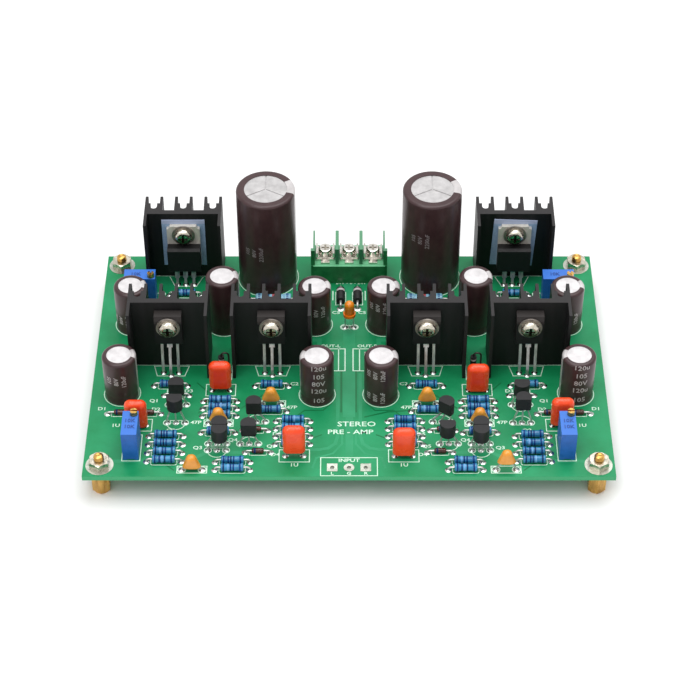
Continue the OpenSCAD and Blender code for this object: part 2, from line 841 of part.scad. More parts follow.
module rear_power_transistor_leads() {
    color("silver")
        both_channels()
            for (i = [-1:1])
                translate([rear_sink[0] + i * tab_pitch, 0, 0])
                    rotate([0, 0, 90]) {
                        cranked_lead(tab_lead_y, tab_foot_y, top + case_lift,
                                     power_lead_t, power_lead_w);
                        lead_shoulder(tab_lead_y, tab_foot_y, top + case_lift,
                                      power_lead_t, tab_shoulder_w, tab_shoulder_h);
                    }
}

module insulating_pads() {
    color("lightsteelblue")
        for (side = [-1, 1])
            translate([side * rear_sink[0], rear_sink[1], top + tab_hole_z])
                rotate([90, 0, 0])
                    linear_extrude(insulator_t)
                        rotate(side > 0 ? -insulator_turn : 0)
                            difference() {
                                translate([-insulator_w / 2, insulator_rise - insulator_h])
                                    square([insulator_w, insulator_h]);
                                circle(d = tab_hole_d);
                            }
}

// Screw place: the child's +Z points forward, out of the heat sink
module at_screws(front_y, rear_y) {
    for (side = [-1, 1]) {
        for (s = [inner_sink, outer_sink])
            translate([side * s[0], front_y, top + power_hole_z]) rotate([90, 0, 0]) children();
        translate([side * rear_sink[0], rear_y, top + tab_hole_z]) rotate([90, 0, 0]) children();
    }
}

module screw_washers() {
    color("gainsboro")
        at_screws(inner_sink[1] - power_t, tab_y - tab_t)
            difference() {
                cylinder(h = washer_t, d = washer_d);
                translate([0, 0, -1]) cylinder(h = washer_t + 2, d = thread_hole_d);
            }
}

module transistor_screws() {
    stack = washer_t + sink_base_t + screw_proud;
    color("gainsboro")
        for (side = [-1, 1]) {
            for (s = [inner_sink, outer_sink])
                translate([side * s[0], s[1] - power_t - washer_t, top + power_hole_z])
                    rotate([90, 0, 0])
                        cross_head_screw(screw_d, stack + power_t, screw_head_d, screw_head_h,
                                         screw_head_round);
            translate([side * rear_sink[0], tab_y - tab_t - washer_t, top + tab_hole_z])
                rotate([90, 0, 0])
                    cross_head_screw(screw_d, stack + tab_t + insulator_t, screw_head_d,
                                     screw_head_h, screw_head_round);
        }
}

module large_capacitor_cans() {
    color("whitesmoke") both_channels() at_places(large_places, top) can(large_d, large_h, true);
}

module large_capacitor_sleeves() {
    color([0.25, 0.17, 0.17]) both_channels() at_places(large_places, top) sleeve(large_d, large_h);
}

module tall_capacitor_cans() {
    color("whitesmoke") both_channels() at_places(tall_places, top) can(small_d, tall_h, false);
}

module tall_capacitor_sleeves() {
    color([0.25, 0.17, 0.17]) both_channels() at_places(tall_places, top) sleeve(small_d, tall_h);
}

module short_capacitor_cans() {
    color("whitesmoke") both_channels() at_places(short_places, top) can(small_d, short_h, false);
}

module short_capacitor_sleeves() {
    color([0.25, 0.17, 0.17]) both_channels() at_places(short_places, top) sleeve(small_d, short_h);
}

module capacitor_seals() {
    color([0.08, 0.08, 0.08])
        both_channels() {
            at_places(large_places, top) seal(large_d, large_pitch);
            at_places(concat(tall_places, short_places), top) seal(small_d, small_pitch);
        }
}

module capacitor_leads() {
    color("silver")
        both_channels() {
            at_places(along_x(large_places, large_pitch, 0), 0)
                lead_down(top + seal_h, cap_lead_d / 2);
            at_places(along_x(concat(tall_places, short_places), small_pitch, 0), 0)
                lead_down(top + seal_h, cap_lead_d / 2);
        }
}

module film_capacitors() {
    color("tomato")
        at_lifted(film_places, film_lifts) dipped_body(film_w, film_t, film_h, film_edge);
}

module film_capacitor_leads() {
    color("silver")
        for (channel = [0, 1])
            for (i = [0:len(film_places) - 1])
                for (side = [-1, 1])
                    translate([channel_side[channel] * film_places[i][0] + side * film_pitch / 2,
                               film_places[i][1], 0])
                        lead_down(top + film_lifts[channel][i], thin_lead_d / 2);
}

module ceramic_capacitors() {
    color("orange")
        at_lifted(ceramic_places, ceramic_lifts)
            dipped_drop(ceramic_w, ceramic_t, ceramic_h, ceramic_top_r);
}

module ceramic_capacitor_leads() {
    seat = ceramic_w / 2 - ceramic_t / 2;
    color("silver")
        for (channel = [0, 1])
            for (i = [0:len(ceramic_places) - 1])
                translate([channel_side[channel] * ceramic_places[i][0], ceramic_places[i][1], 0])
                    for (side = [-1, 1])
                        cranked_lead(side * seat, side * ceramic_pitch / 2,
                                     top + ceramic_lifts[channel][i], wire_w, wire_w);
}

module resistor_bodies() {
    color("steelblue")
        both_channels()
            at_places(resistor_places, top + resistor_d / 2)
                axial_body(resistor_l, resistor_d, resistor_d - 0.35, 0.4);
}

module resistor_leads() {
    color("silver")
        both_channels()
            at_places(resistor_places, 0)
                wire_pair(resistor_l, resistor_pitch, top + resistor_d / 2, thin_lead_d / 2, thin_bend);
}

module power_resistor_bodies() {
    color("skyblue")
        both_channels()
            at_places(load_places, top + load_d / 2)
                axial_body(load_l, load_d, load_d - 0.5, 0.6);
}

module power_resistor_leads() {
    color("silver")
        both_channels()
            at_places(load_places, 0)
                wire_pair(load_l, load_pitch, top + load_d / 2, thick_lead_d / 2, thick_bend);
}

module small_transistor_case(turn) {
    rotate([0, 0, turn])
        linear_extrude(small_case_h)
            difference() {
                circle(r = case_r);
                translate([-case_r, -flat_depth - case_r]) square([2 * case_r, case_r]);
            }
}

module small_transistors() {
    color([0.12, 0.12, 0.12])
        for (channel = [0, 1])
            for (i = [0:len(small_transistor_places) - 1]) {
                place = small_transistor_places[i];
                x = channel_side[channel] * (place[0] + small_leans[channel][i]);
                translate([x, place[1], top + place[2]])
                    small_transistor_case(small_turns[channel][i]);
            }
}

module small_transistor_leads() {
    color("silver")
        for (channel = [0, 1])
            for (i = [0:len(small_transistor_places) - 1]) {
                place = small_transistor_places[i];
                lean = channel_side[channel] * small_leans[channel][i];
                translate([channel_side[channel] * place[0], place[1], 0])
                    for (lead = [-1:1])
                        cranked_lead(lean + lead * inner_pitch, lead * splay_pitch,
                                     top + place[2], wire_w, wire_w);
            }
}

module signal_diodes() {
    color("indianred")
        both_channels()
            at_places(signal_places, top + signal_d / 2)
                rotate([0, 90, 0])
                    rotate_extrude()
                        intersection() {
                            rounded_box(signal_d, signal_l, 0.5);
                            translate([0, -signal_l]) square([signal_d, 2 * signal_l]);
                        }
}

module signal_diode_leads() {
    color("silver")
        both_channels()
            at_places(signal_places, 0)
                wire_pair(signal_l, signal_pitch, top + signal_d / 2, thin_lead_d / 2, thin_bend);
}

module rectifier_diodes() {
    color([0.1, 0.1, 0.1]) {
        both_channels()
            at_places(rectifier_places, top + rectifier_d / 2)
                rotate([90, 0, 0])
                    cylinder(h = rectifier_l, d = rectifier_d, center = true);
        at_places(upright_places, top + upright_lift) cylinder(h = upright_l, d = upright_d);
    }
}

// Two leads of an upright body: one goes straight down, the other loops over and down along +X
module upright_wires() {
    r = thin_lead_d / 2;
    loop_r = upright_pitch / 2;
    loop_z = top + upright_lift + upright_l + 0.3;
    lead_down(top + upright_lift, r);
    translate([0, 0, loop_z - 0.3]) cylinder(h = 0.3, r = r);
    translate([loop_r, 0, loop_z])
        rotate([90, 0, 0])
            rotate_extrude(angle = 180) translate([loop_r, 0]) circle(r = r);
    translate([upright_pitch, 0, 0]) lead_down(loop_z, r);
}

module rectifier_diode_leads() {
    color("silver") {
        both_channels()
            at_places(rectifier_places, 0)
                rotate([0, 0, 90])
                    wire_pair(rectifier_l, rectifier_pitch, top + rectifier_d / 2,
                              thick_lead_d / 2, thick_bend);
        at_places(upright_places, 0) upright_wires();
    }
}

module indicator_lamp() {
    color("darkorange")
        translate([lamp_place[0], lamp_place[1], top + lamp_lift]) {
            cylinder(h = 0.9, d = lamp_flange_d);
            rotate_extrude()
                intersection() {
                    union() {
                        square([lamp_d / 2, lamp_h - lamp_d / 2]);
                        translate([0, lamp_h - lamp_d / 2]) circle(d = lamp_d);
                    }
                    square([lamp_d, lamp_h]);
                }
        }
}

module indicator_lamp_leads() {
    color("silver")
        at_places(along_x([lamp_place], lamp_pitch, 0), 0)
            translate([-wire_w / 2, -wire_w / 2, under])
                cube([wire_w, wire_w, board_t + lamp_lift]);
}

// Trimmer body with its long side along Y and its screw near the rear right corner
module trimmer_body() {
    foot = 1.2;
    difference() {
        translate([0, 0, trimmer_foot])
            linear_extrude(trimmer_h) square([trimmer_w, trimmer_l], center = true);
        translate([trimmer_screw_x, trimmer_screw_y, trimmer_foot + trimmer_h - trimmer_screw_seat])
            cylinder(h = trimmer_screw_seat + 1, r = trimmer_screw_d / 2 + turn_gap);
    }
    for (x = [-1, 1])
        for (y = [-1, 1])
            translate([x * (trimmer_w - foot) / 2, y * (trimmer_l - foot) / 2, 0])
                linear_extrude(trimmer_foot + 0.5) square(foot, center = true);
}

module trimmer_bodies() {
    color("royalblue")
        for (side = [-1, 1]) {
            translate([side * front_trimmer[0], front_trimmer[1], top]) trimmer_body();
            translate([side * rear_trimmer[0], rear_trimmer[1], top])
                rotate([0, 0, -90]) trimmer_body();
        }
}

module trimmer_pins() {
    color("silver")
        both_channels()
            for (i = [-1:1]) {
                translate([front_trimmer[0], front_trimmer[1] + i * trimmer_pitch, 0])
                    lead_down(top + trimmer_foot, trimmer_pin_d / 2);
                translate([rear_trimmer[0] + i * trimmer_pitch, rear_trimmer[1], 0])
                    lead_down(top + trimmer_foot, trimmer_pin_d / 2);
            }
}

// Slotted brass screw on the axis of a trimmer that stands at the origin
module trimmer_screw() {
    length = trimmer_screw_seat + trimmer_screw_proud;
    color("gold")
        translate([trimmer_screw_x, trimmer_screw_y, top + trimmer_foot + trimmer_h - trimmer_screw_seat])
            difference() {
                cylinder(h = length, d = trimmer_screw_d);
                translate([-trimmer_screw_d, -0.25, length - 0.7])
                    cube([2 * trimmer_screw_d, 0.5, 1]);
            }
}

module front_trimmer_screw(side) {
    translate([side * front_trimmer[0], front_trimmer[1], 0]) trimmer_screw();
}

module rear_trimmer_screw(side) {
    translate([side * rear_trimmer[0], rear_trimmer[1], 0]) rotate([0, 0, -90]) trimmer_screw();
}

module terminal_housing() {
    front = barrier_front - ledge_d;
    rib_d2 = 1.2;
    color("darkgreen")
        difference() {
            translate([terminal_place[0], 0, top]) {
                translate([-terminal_w / 2, front, 0])
                    cube([terminal_w, barrier_back - front, platform_h]);
                for (x = [-1, 1]) {
                    translate([x * way_pitch / 2 - barrier_t / 2, barrier_front, 0])
                        cube([barrier_t, barrier_d, barrier_h]);
                    translate([x * (terminal_w - barrier_t / 2) / 2 - barrier_t / 4, barrier_front, 0])
                        cube([barrier_t / 2, barrier_d, barrier_h]);
                    translate([x * (terminal_w / 2 + side_rib / 2) - side_rib / 2,
                               barrier_front - rib_d2 / 2, 2])
                        cube([side_rib, rib_d2, barrier_h - 2]);
                    translate([x * (terminal_w / 2 - barrier_t / 4) - barrier_t / 4,
                               barrier_front - rib_d2 / 2, 2])
                        cube([barrier_t / 2, rib_d2, barrier_h - 2]);
                }
            }
            for (x = way_x)
                translate([terminal_place[0] + x, 0, top]) {
                    translate([0, terminal_place[1], clamp_z + clamp_t - terminal_depth])
                        cylinder(h = terminal_depth + 1, r = terminal_screw_d / 2 + terminal_gap);
                    translate([-terminal_pin_w / 2 - lead_gap, terminal_pin_y - strip_t / 2 - lead_gap, -1])
                        cube([terminal_pin_w + 2 * lead_gap, strip_t + 2 * lead_gap, platform_h + 2]);
                }
        }
}

// Metal strip of one way: a plate on the platform, a tongue in front and a solder pin behind
module terminal_strips() {
    plate_front = terminal_place[1] - clamp_d / 2 - strip_edge;
    plate_back = terminal_pin_y + strip_t / 2;
    color("silver")
        for (x = way_x)
            translate([terminal_place[0] + x, 0, 0])
                difference() {
                    union() {
                        translate([-strip_w / 2, plate_front, top + platform_h])
                            cube([strip_w, plate_back - plate_front, strip_t]);
                        translate([-tongue_w / 2, barrier_front + 0.1, top + platform_h])
                            cube([tongue_w, tongue_l, strip_t]);
                        translate([-terminal_pin_w / 2, terminal_pin_y - strip_t / 2, under])
                            cube([terminal_pin_w, strip_t, board_t + platform_h + strip_t / 2]);
                    }
                    translate([0, terminal_place[1], top])
                        cylinder(h = clamp_z + strip_t, r = terminal_screw_d / 2 + terminal_gap);
                }
}

// Clamp plate: a U of sheet metal that opens upward, held by the screw through its floor
module terminal_clamp(x) {
    color("gainsboro")
        translate([terminal_place[0] + x, terminal_place[1], top + clamp_z])
            difference() {
                translate([0, clamp_d / 2, 0])
                    rotate([90, 0, 0])
                        linear_extrude(clamp_d)
                            intersection() {
                                translate([0, clamp_h])
                                    difference() {
                                        rounded_box(clamp_w, 2 * clamp_h, clamp_bend);
                                        rounded_box(clamp_w - 2 * clamp_t, 2 * (clamp_h - clamp_t),
                                                    clamp_bend - clamp_t);
                                    }
                                translate([-clamp_w, 0]) square([2 * clamp_w, clamp_h]);
                            }
                translate([0, 0, -1])
                    cylinder(h = clamp_t + 2, r = terminal_screw_d / 2 + terminal_gap);
            }
}

module terminal_screw(x) {
    color("gainsboro")
        translate([terminal_place[0] + x, terminal_place[1], top + clamp_z + clamp_t])
            cross_head_screw(terminal_screw_d, terminal_screw_l, terminal_head_d,
                             terminal_head_h, terminal_head_round);
}

module solder_joints() {
    color("silver")
        for (s = leads)
            translate([s[0], s[1], under - solder_h]) {
                cylinder(h = solder_h, r1 = s[2] + 0.1, r2 = s[2] + lead_gap + 0.5);
                translate([0, 0, -lead_stub]) cylinder(h = lead_stub + 0.1, r = s[2]);
            }
}

circuit_board();
corner_rings();
wire_pads();
standoffs();
standoff_nuts();
mirror([1, 0, 0]) heat_sink(outer_sink, power_hole_z);  // left_outer_heat_sink
mirror([1, 0, 0]) heat_sink(inner_sink, power_hole_z);  // left_inner_heat_sink
heat_sink(inner_sink, power_hole_z);  // right_inner_heat_sink
heat_sink(outer_sink, power_hole_z);  // right_outer_heat_sink
mirror([1, 0, 0]) heat_sink(rear_sink, tab_hole_z);  // left_rear_heat_sink
heat_sink(rear_sink, tab_hole_z);  // right_rear_heat_sink
heat_sink_pins();
front_power_transistors();
front_power_transistor_leads();
rear_power_transistor_cases();
rear_power_transistor_tabs();
rear_power_transistor_leads();
insulating_pads();
transistor_screws();
screw_washers();
large_capacitor_cans();
large_capacitor_sleeves();
tall_capacitor_cans();
tall_capacitor_sleeves();
short_capacitor_cans();
short_capacitor_sleeves();
capacitor_seals();
capacitor_leads();
film_capacitors();
film_capacitor_leads();
ceramic_capacitors();
ceramic_capacitor_leads();
resistor_bodies();
resistor_leads();
power_resistor_bodies();
power_resistor_leads();
small_transistors();
small_transistor_leads();
signal_diodes();
signal_diode_leads();
rectifier_diodes();
rectifier_diode_leads();
indicator_lamp();
indicator_lamp_leads();
trimmer_bodies();
trimmer_pins();
front_trimmer_screw(-1);  // left_front_trimmer_screw
front_trimmer_screw(1);  // right_front_trimmer_screw
rear_trimmer_screw(-1);  // left_rear_trimmer_screw
rear_trimmer_screw(1);  // right_rear_trimmer_screw
terminal_housing();
terminal_strips();
terminal_clamp(way_x[0]);  // left_terminal_clamp
terminal_clamp(way_x[1]);  // centre_terminal_clamp
terminal_clamp(way_x[2]);  // right_terminal_clamp
terminal_screw(way_x[0]);  // left_terminal_screw
terminal_screw(way_x[1]);  // centre_terminal_screw
terminal_screw(way_x[2]);  // right_terminal_screw
solder_joints();
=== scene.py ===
import math

import bmesh
import bpy
from mathutils import Matrix


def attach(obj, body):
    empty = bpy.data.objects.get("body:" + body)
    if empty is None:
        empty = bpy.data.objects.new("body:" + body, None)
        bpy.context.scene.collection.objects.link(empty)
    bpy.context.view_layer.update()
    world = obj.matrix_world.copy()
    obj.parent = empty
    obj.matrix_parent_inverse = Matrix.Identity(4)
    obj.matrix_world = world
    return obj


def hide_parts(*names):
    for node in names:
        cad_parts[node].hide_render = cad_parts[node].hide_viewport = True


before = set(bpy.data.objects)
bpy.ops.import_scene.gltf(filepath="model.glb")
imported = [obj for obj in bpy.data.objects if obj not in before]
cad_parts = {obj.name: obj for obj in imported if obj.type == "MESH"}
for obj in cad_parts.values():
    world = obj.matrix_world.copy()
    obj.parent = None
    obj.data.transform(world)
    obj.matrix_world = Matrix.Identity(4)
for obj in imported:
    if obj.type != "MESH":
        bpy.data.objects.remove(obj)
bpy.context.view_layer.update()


# Circuit board
# A sheet of glass-fibre laminate with a green lacquer over the copper of both faces, routed to
# size and drilled for every lead. The cut edges and the hole walls show the pale laminate.
board_under = 8.0  # both in mm over the standoffs' feet
board_top = 9.6
cut_edge = 0.04


def tone(red, green, blue):
    """Shader colour of an 8-bit screen colour."""
    return tuple(c / 3294.6 if c < 11 else ((c / 255 + 0.055) / 1.055) ** 2.4
                 for c in (red, green, blue)) + (1.0,)


def finish(name, dark, light, grain, rough, bump, stretch=(1, 1, 1), **sockets):
    """A material on Object coordinates, whose colour, gloss and relief vary with one noise. The
    grain is the noise's scale in 1/m, and the bump is the relief's height in metres."""
    made = bpy.data.materials.new(name)
    made.use_nodes = True
    tree = made.node_tree
    shader = tree.nodes["Principled BSDF"]
    place = tree.nodes.new("ShaderNodeTexCoord")
    scale = tree.nodes.new("ShaderNodeMapping")
    scale.inputs["Scale"].default_value = stretch
    noise = tree.nodes.new("ShaderNodeTexNoise")
    noise.inputs["Scale"].default_value = grain
    noise.inputs["Detail"].default_value = 5
    noise.inputs["Roughness"].default_value = 0.6
    ramp = tree.nodes.new("ShaderNodeValToRGB")
    ramp.color_ramp.elements[0].position = 0.32
    ramp.color_ramp.elements[0].color = tone(*dark)
    ramp.color_ramp.elements[1].position = 0.68
    ramp.color_ramp.elements[1].color = tone(*light)
    gloss = tree.nodes.new("ShaderNodeMapRange")
    gloss.inputs["From Min"].default_value = 0.3
    gloss.inputs["From Max"].default_value = 0.7
    gloss.inputs["To Min"].default_value = rough[0]
    gloss.inputs["To Max"].default_value = rough[1]
    relief = tree.nodes.new("ShaderNodeBump")
    relief.inputs["Strength"].default_value = 0.6
    relief.inputs["Distance"].default_value = bump
    tree.links.new(place.outputs["Object"], scale.inputs["Vector"])
    tree.links.new(scale.outputs["Vector"], noise.inputs["Vector"])
    tree.links.new(noise.outputs["Fac"], ramp.inputs["Fac"])
    tree.links.new(ramp.outputs["Color"], shader.inputs["Base Color"])
    tree.links.new(noise.outputs["Fac"], gloss.inputs["Value"])
    tree.links.new(gloss.outputs["Result"], shader.inputs["Roughness"])
    tree.links.new(noise.outputs["Fac"], relief.inputs["Height"])
    tree.links.new(relief.outputs["Normal"], shader.inputs["Normal"])
    for socket, value in sockets.items():
        shader.inputs[socket.replace("_", " ")].default_value = value
    return made


def zone(made, axis, low, high, colour):
    """Paints another colour between two places on an axis, in mm."""
    tree = made.node_tree
    shader = tree.nodes["Principled BSDF"]
    under = shader.inputs["Base Color"].links[0].from_socket
    place = tree.nodes.new("ShaderNodeTexCoord")
    parts = tree.nodes.new("ShaderNodeSeparateXYZ")
    above = tree.nodes.new("ShaderNodeMath")
    above.operation = "GREATER_THAN"
    above.inputs[1].default_value = low / 1000
    below = tree.nodes.new("ShaderNodeMath")
    below.operation = "LESS_THAN"
    below.inputs[1].default_value = high / 1000
    both = tree.nodes.new("ShaderNodeMath")
    both.operation = "MULTIPLY"
    mix = tree.nodes.new("ShaderNodeMix")
    mix.data_type = "RGBA"
    mix.inputs["B"].default_value = tone(*colour)
    tree.links.new(place.outputs["Object"], parts.inputs["Vector"])
    tree.links.new(parts.outputs[axis], above.inputs[0])
    tree.links.new(parts.outputs[axis], below.inputs[0])
    tree.links.new(above.outputs["Value"], both.inputs[0])
    tree.links.new(below.outputs["Value"], both.inputs[1])
    tree.links.new(both.outputs["Value"], mix.inputs["Factor"])
    tree.links.new(under, mix.inputs["A"])
    tree.links.new(mix.outputs["Result"], shader.inputs["Base Color"])


def dress(made, *nodes):
    """Gives CAD nodes their finish."""
    for node in nodes:
        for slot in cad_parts[node].material_slots:
            slot.material = made


lacquer = finish("green_lacquer", (14, 130, 78), (30, 148, 96), 90, (0.3, 0.44), 0.00002,
                 Specular_IOR_Level=0.3)
zone(lacquer, "Z", board_under + cut_edge, board_top - cut_edge, (60, 166, 112))
dress(lacquer, "circuit_board")


# Copper tracks
# Etched copper under the lacquer: it stands a hair above the laminate and shows as darker green
# lines. The outputs run forward down the middle, and the channels mirror each other.
wide_h = 0.01
joining_h = 0.014
track_h = 0.02
crossing_h = 0.03


def line(bm, start, end, width, level, height):
    """A straight band of ink or copper with square ends, in mm."""
    length = math.dist(start, end)
    turn = math.atan2(end[1] - start[1], end[0] - start[0])
    middle = ((start[0] + end[0]) / 2, (start[1] + end[1]) / 2, level + height / 2)
    bmesh.ops.create_cube(bm, size=1, matrix=Matrix.Translation(middle)
                          @ Matrix.Rotation(turn, 4, "Z")
                          @ Matrix.Diagonal((length + width, width, height, 1)))


def path(bm, points, width, level, height, closed=False):
    """Bands that follow a row of points, each a hair higher than the one before, so that they
    don't share a face where they meet."""
    ends = points[1:] + (points[:1] if closed else [])
    for number, (start, end) in enumerate(zip(points, ends)):
        line(bm, start, end, width, level, height + 0.002 * number)


def piece(name, bm, materials, body="board", sharp=0.6):
    """Makes the finished mesh, drawn in mm, a piece that rides on a CAD body."""
    bmesh.ops.scale(bm, vec=(0.001, 0.001, 0.001), verts=bm.verts)
    for face in bm.faces:
        face.smooth = True
    for edge in bm.edges:
        edge.smooth = len(edge.link_faces) != 2 or edge.calc_face_angle(0) < sharp
    mesh = bpy.data.meshes.new(name)
    bm.to_mesh(mesh)
    bm.free()
    for made in materials:
        mesh.materials.append(made)
    made_piece = bpy.data.objects.new(name, mesh)
    bpy.context.scene.collection.objects.link(made_piece)
    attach(made_piece, body)
    return made_piece


track_lacquer = finish("track_lacquer", (6, 104, 58), (14, 118, 68), 140, (0.3, 0.44), 0.00001,
                       Specular_IOR_Level=0.3)
light_lacquer = finish("light_lacquer", (32, 142, 92), (46, 154, 106), 110, (0.3, 0.44), 0.00001,
                       Specular_IOR_Level=0.3)
wide_tracks = bmesh.new()
path(wide_tracks, [(0, 36), (0, -22)], 3.6, board_top, wide_h)
path(wide_tracks, [(0.1, -22), (0.1, -38.4)], 2.2, board_top, joining_h)
for side in (-1, 1):
    path(wide_tracks, [(side * 3.3, -6), (side * 3.3, -31.5), (side * 4, -34.5), (side * 6, -36.3),
                       (side * 8.5, -36.9), (side * 12, -36.9)], 1.0, board_top, wide_h)
    path(wide_tracks, [(side * 2, -30), (side * 2, -34.6), (side * 4.6, -38.4), (side * 9.4, -40.2),
                       (side * 10.4, -44)], 0.6, board_top, wide_h)
    path(wide_tracks, [(side * 9, 5), (side * 9, 9), (side * 17, 9), (side * 17, 32)],
         1.4, board_top, wide_h)
    path(wide_tracks, [(side * 30, -38), (side * 41, -38), (side * 46, -41.5), (side * 68, -41.5)],
         1.2, board_top, wide_h)
piece("wide_tracks", wide_tracks, [light_lacquer])
tracks = bmesh.new()
for x in (-2.3, 2.1):
    path(tracks, [(x, -4.8), (x, -21.6)], 0.5, board_top, track_h)
path(tracks, [(4.7, -23.7), (11.1, -21.7), (19.3, -20.9)], 0.5, board_top, track_h)
for side in (-1, 1):
    for x in (5.1, 6.6):
        path(tracks, [(side * x, -5), (side * x, -18)], 0.35, board_top, track_h)
    path(tracks, [(side * 5.1, -18), (side * 7.6, -21), (side * 13, -21), (side * 16, -24)],
         0.35, board_top, crossing_h)
    path(tracks, [(side * 22.9, -12.5), (side * 27.5, -16.5), (side * 31.5, -20)],
         0.45, board_top, track_h)
    path(tracks, [(side * 45, -9.6), (side * 42, -13), (side * 42, -20), (side * 44, -22)],
         0.45, board_top, track_h)
    path(tracks, [(side * 55.6, -34), (side * 55.6, -40), (side * 50, -45)],
         0.4, board_top, track_h)
    path(tracks, [(side * 20, -29), (side * 20, -33), (side * 24, -36)], 0.4, board_top, track_h)
    path(tracks, [(side * 8, -31), (side * 12, -33), (side * 12, -42)], 0.4, board_top, track_h)
    path(tracks, [(side * 35, 26), (side * 42, 26), (side * 47, 22)], 0.5, board_top, track_h)
piece("copper_tracks", tracks, [track_lacquer])


# Pads and solder
# Each hole has a ring of tinned copper on both faces. Solder fills the hole and climbs the lead,
# in a cone below and a small collar above.
big_lead = 0.35  # half the leads' thickness
thin_lead = 0.275
thick_lead = 0.4
flat_lead = 0.47
square_lead = 0.32
large_pitch = 7.5  # from lead to lead of one part
can_pitch = 5
film_pitch = 5.08
ceramic_pitch = 5.8
resistor_pitch = 10
power_resistor_pitch = 15
diode_pitch = 7.4
rectifier_pitch = 9.2
upright_pitch = 2.2
transistor_pitch = 2.6
power_pitch = 2.29
pin_pitch = 2.54

# Where the right channel's parts stand. The left channel mirrors them.
large_cans = [(25.2, 37.8)]
tall_cans = [(38, 15.9)]
short_cans = [(66.9, -14), (9.4, -14.4), (65.8, 16.1), (10.4, 15.9)]
films = [(15.7, -39.4), (37.9, -12.6), (61.7, -27.1)]
ceramics = [(22.9, -18.4), (38, -26.3), (44.8, -44.8)]
resistors = ([(53, -31.7 - 3.35 * i) for i in range(4)]
             + [(16.3, -25.6 - 3.1 * i) for i in range(4)]
             + [(37.9, -17.4 - 3.05 * i) for i in range(3)]
             + [(33.3, -42 - 3 * i) for i in range(2)]
             + [(52.8, -10.9), (22.9, -11), (38, -30.3), (23.2, -21.5), (50.7, 29.2)])
power_resistors = [(23.3, 25.6)]
glass_diodes = [(67, -22.5), (58.7, -22.5), (50.9, -14.9), (26.2, -38.1), (27.2, -29.3)]
rectifiers = [(2.6, 27.6)]
front_trimmer = (62.5, -36.2)
rear_trimmer = (64.1, 27.4)
plastic_transistors = [(50.4, -26.1), (50.4, -18.7), (38, -34.6), (38, -37.2), (27, -25.7),
                       (28.8, -34.6)]
front_sinks = [(22.8, -1.9), (53, -1.9)]
rear_sink = (50.8, 38.2)

# What isn't mirrored: which of each channel's transistors turn their round side to the front, the
# diodes that stand on end, the lamp, and the pads for wires.
round_in_front = {-1: (1, 0, 0, 1, 0, 0), 1: (0, 1, 0, 1, 0, 1)}
upright_diodes = [(-37.9, -5), (36.9, -5)]
lamp_place = (0.1, 14.7)
input_wires = [(x, -44) for x in (-4.8, 0, 4.8)]
output_wires = [(side * 5.8, y) for side in (-1, 1) for y in (2.6, -0.9)]


def beside(places, pitch):
    """The lead places of parts that lie along X."""
    return [(x + end * pitch / 2, y) for x, y in places for end in (-1, 1)]


def stamp(bm, shape, matrix):
    """Adds a copy of a finished shape."""
    before = len(bm.verts)
    bm.from_mesh(shape)
    bm.verts.ensure_lookup_table()
    bmesh.ops.transform(bm, matrix=matrix, verts=bm.verts[before:])


def turned(profile, steps, start=0.0):
    """A bmesh turned about Z from points (radius, height), in mm."""
    bm = bmesh.new()
    points = [bm.verts.new((r * math.cos(start), r * math.sin(start), z)) for r, z in profile]
    edges = [bm.edges.new(pair) for pair in zip(points, points[1:])]
    bmesh.ops.spin(bm, geom=points + edges, cent=(0, 0, 0), axis=(0, 0, 1), dvec=(0, 0, 0),
                   angle=math.tau, steps=steps, use_merge=True, use_duplicate=False)
    bmesh.ops.remove_doubles(bm, verts=bm.verts, dist=0.0001)
    bmesh.ops.recalc_face_normals(bm, faces=bm.faces)
    return bm


def shape_of(bm):
    """A finished shape, kept to be copied."""
    mesh = bpy.data.meshes.new("shape")
    bm.to_mesh(mesh)
    bm.free()
    return mesh


def collar(lead, ring):
    """The tinned ring of a pad with the solder that climbs the lead, from just inside the lead's
    surface, and closed under the board's face."""
    inside, foot = lead * 0.9, -0.05
    return shape_of(turned([(inside, foot), (inside, 0.42), (lead + 0.08, 0.3), (lead + 0.22, 0.16),
                            (ring - 0.08, 0.07), (ring, 0.03), (ring, foot), (inside, foot)], 16))


solder = finish("solder", (168, 170, 168), (214, 216, 214), 900, (0.18, 0.36), 0.00006,
                Metallic=1.0)
tinned = finish("tinned_copper", (158, 161, 150), (204, 207, 196), 260, (0.2, 0.42), 0.00003,
                Metallic=0.9)
dress(tinned, "corner_rings", "wire_pads")
dress(solder, "solder_joints")
pads = bmesh.new()
groups = [
    (beside(large_cans, large_pitch), big_lead, 1.3),
    (beside(tall_cans + short_cans, can_pitch), big_lead, 1.0),
    (beside(films, film_pitch) + beside(resistors, resistor_pitch)
     + beside(glass_diodes, diode_pitch), thin_lead, 0.95),
    (beside(ceramics, ceramic_pitch), thin_lead, 0.95),
    (beside(power_resistors, power_resistor_pitch), thick_lead, 1.2),
    ([(x, y + end * rectifier_pitch / 2) for x, y in rectifiers for end in (-1, 1)],
     thick_lead, 1.2),
    ([(x + i * transistor_pitch, y) for x, y in plastic_transistors for i in (-1, 0, 1)],
     thin_lead, 0.85),
    ([(front_trimmer[0], front_trimmer[1] + i * pin_pitch) for i in (-1, 0, 1)], thin_lead, 0.9),
    ([(rear_trimmer[0] + i * pin_pitch, rear_trimmer[1]) for i in (-1, 0, 1)], thin_lead, 0.9),
    ([(x + i * power_pitch, y - (4.4 if i == 0 else 3.3)) for x, y in front_sinks
      for i in (-1, 0, 1)], flat_lead, 0.95),
    ([(rear_sink[0] + i * pin_pitch, rear_sink[1] - 4) for i in (-1, 0, 1)], flat_lead, 1.05),
]
for places, lead, ring in groups:
    shape = collar(lead, ring)
    for x, y in places:
        for side in (-1, 1):
            stamp(pads, shape, Matrix.Translation((side * x, y, board_top)))
shape = collar(square_lead, 0.85)
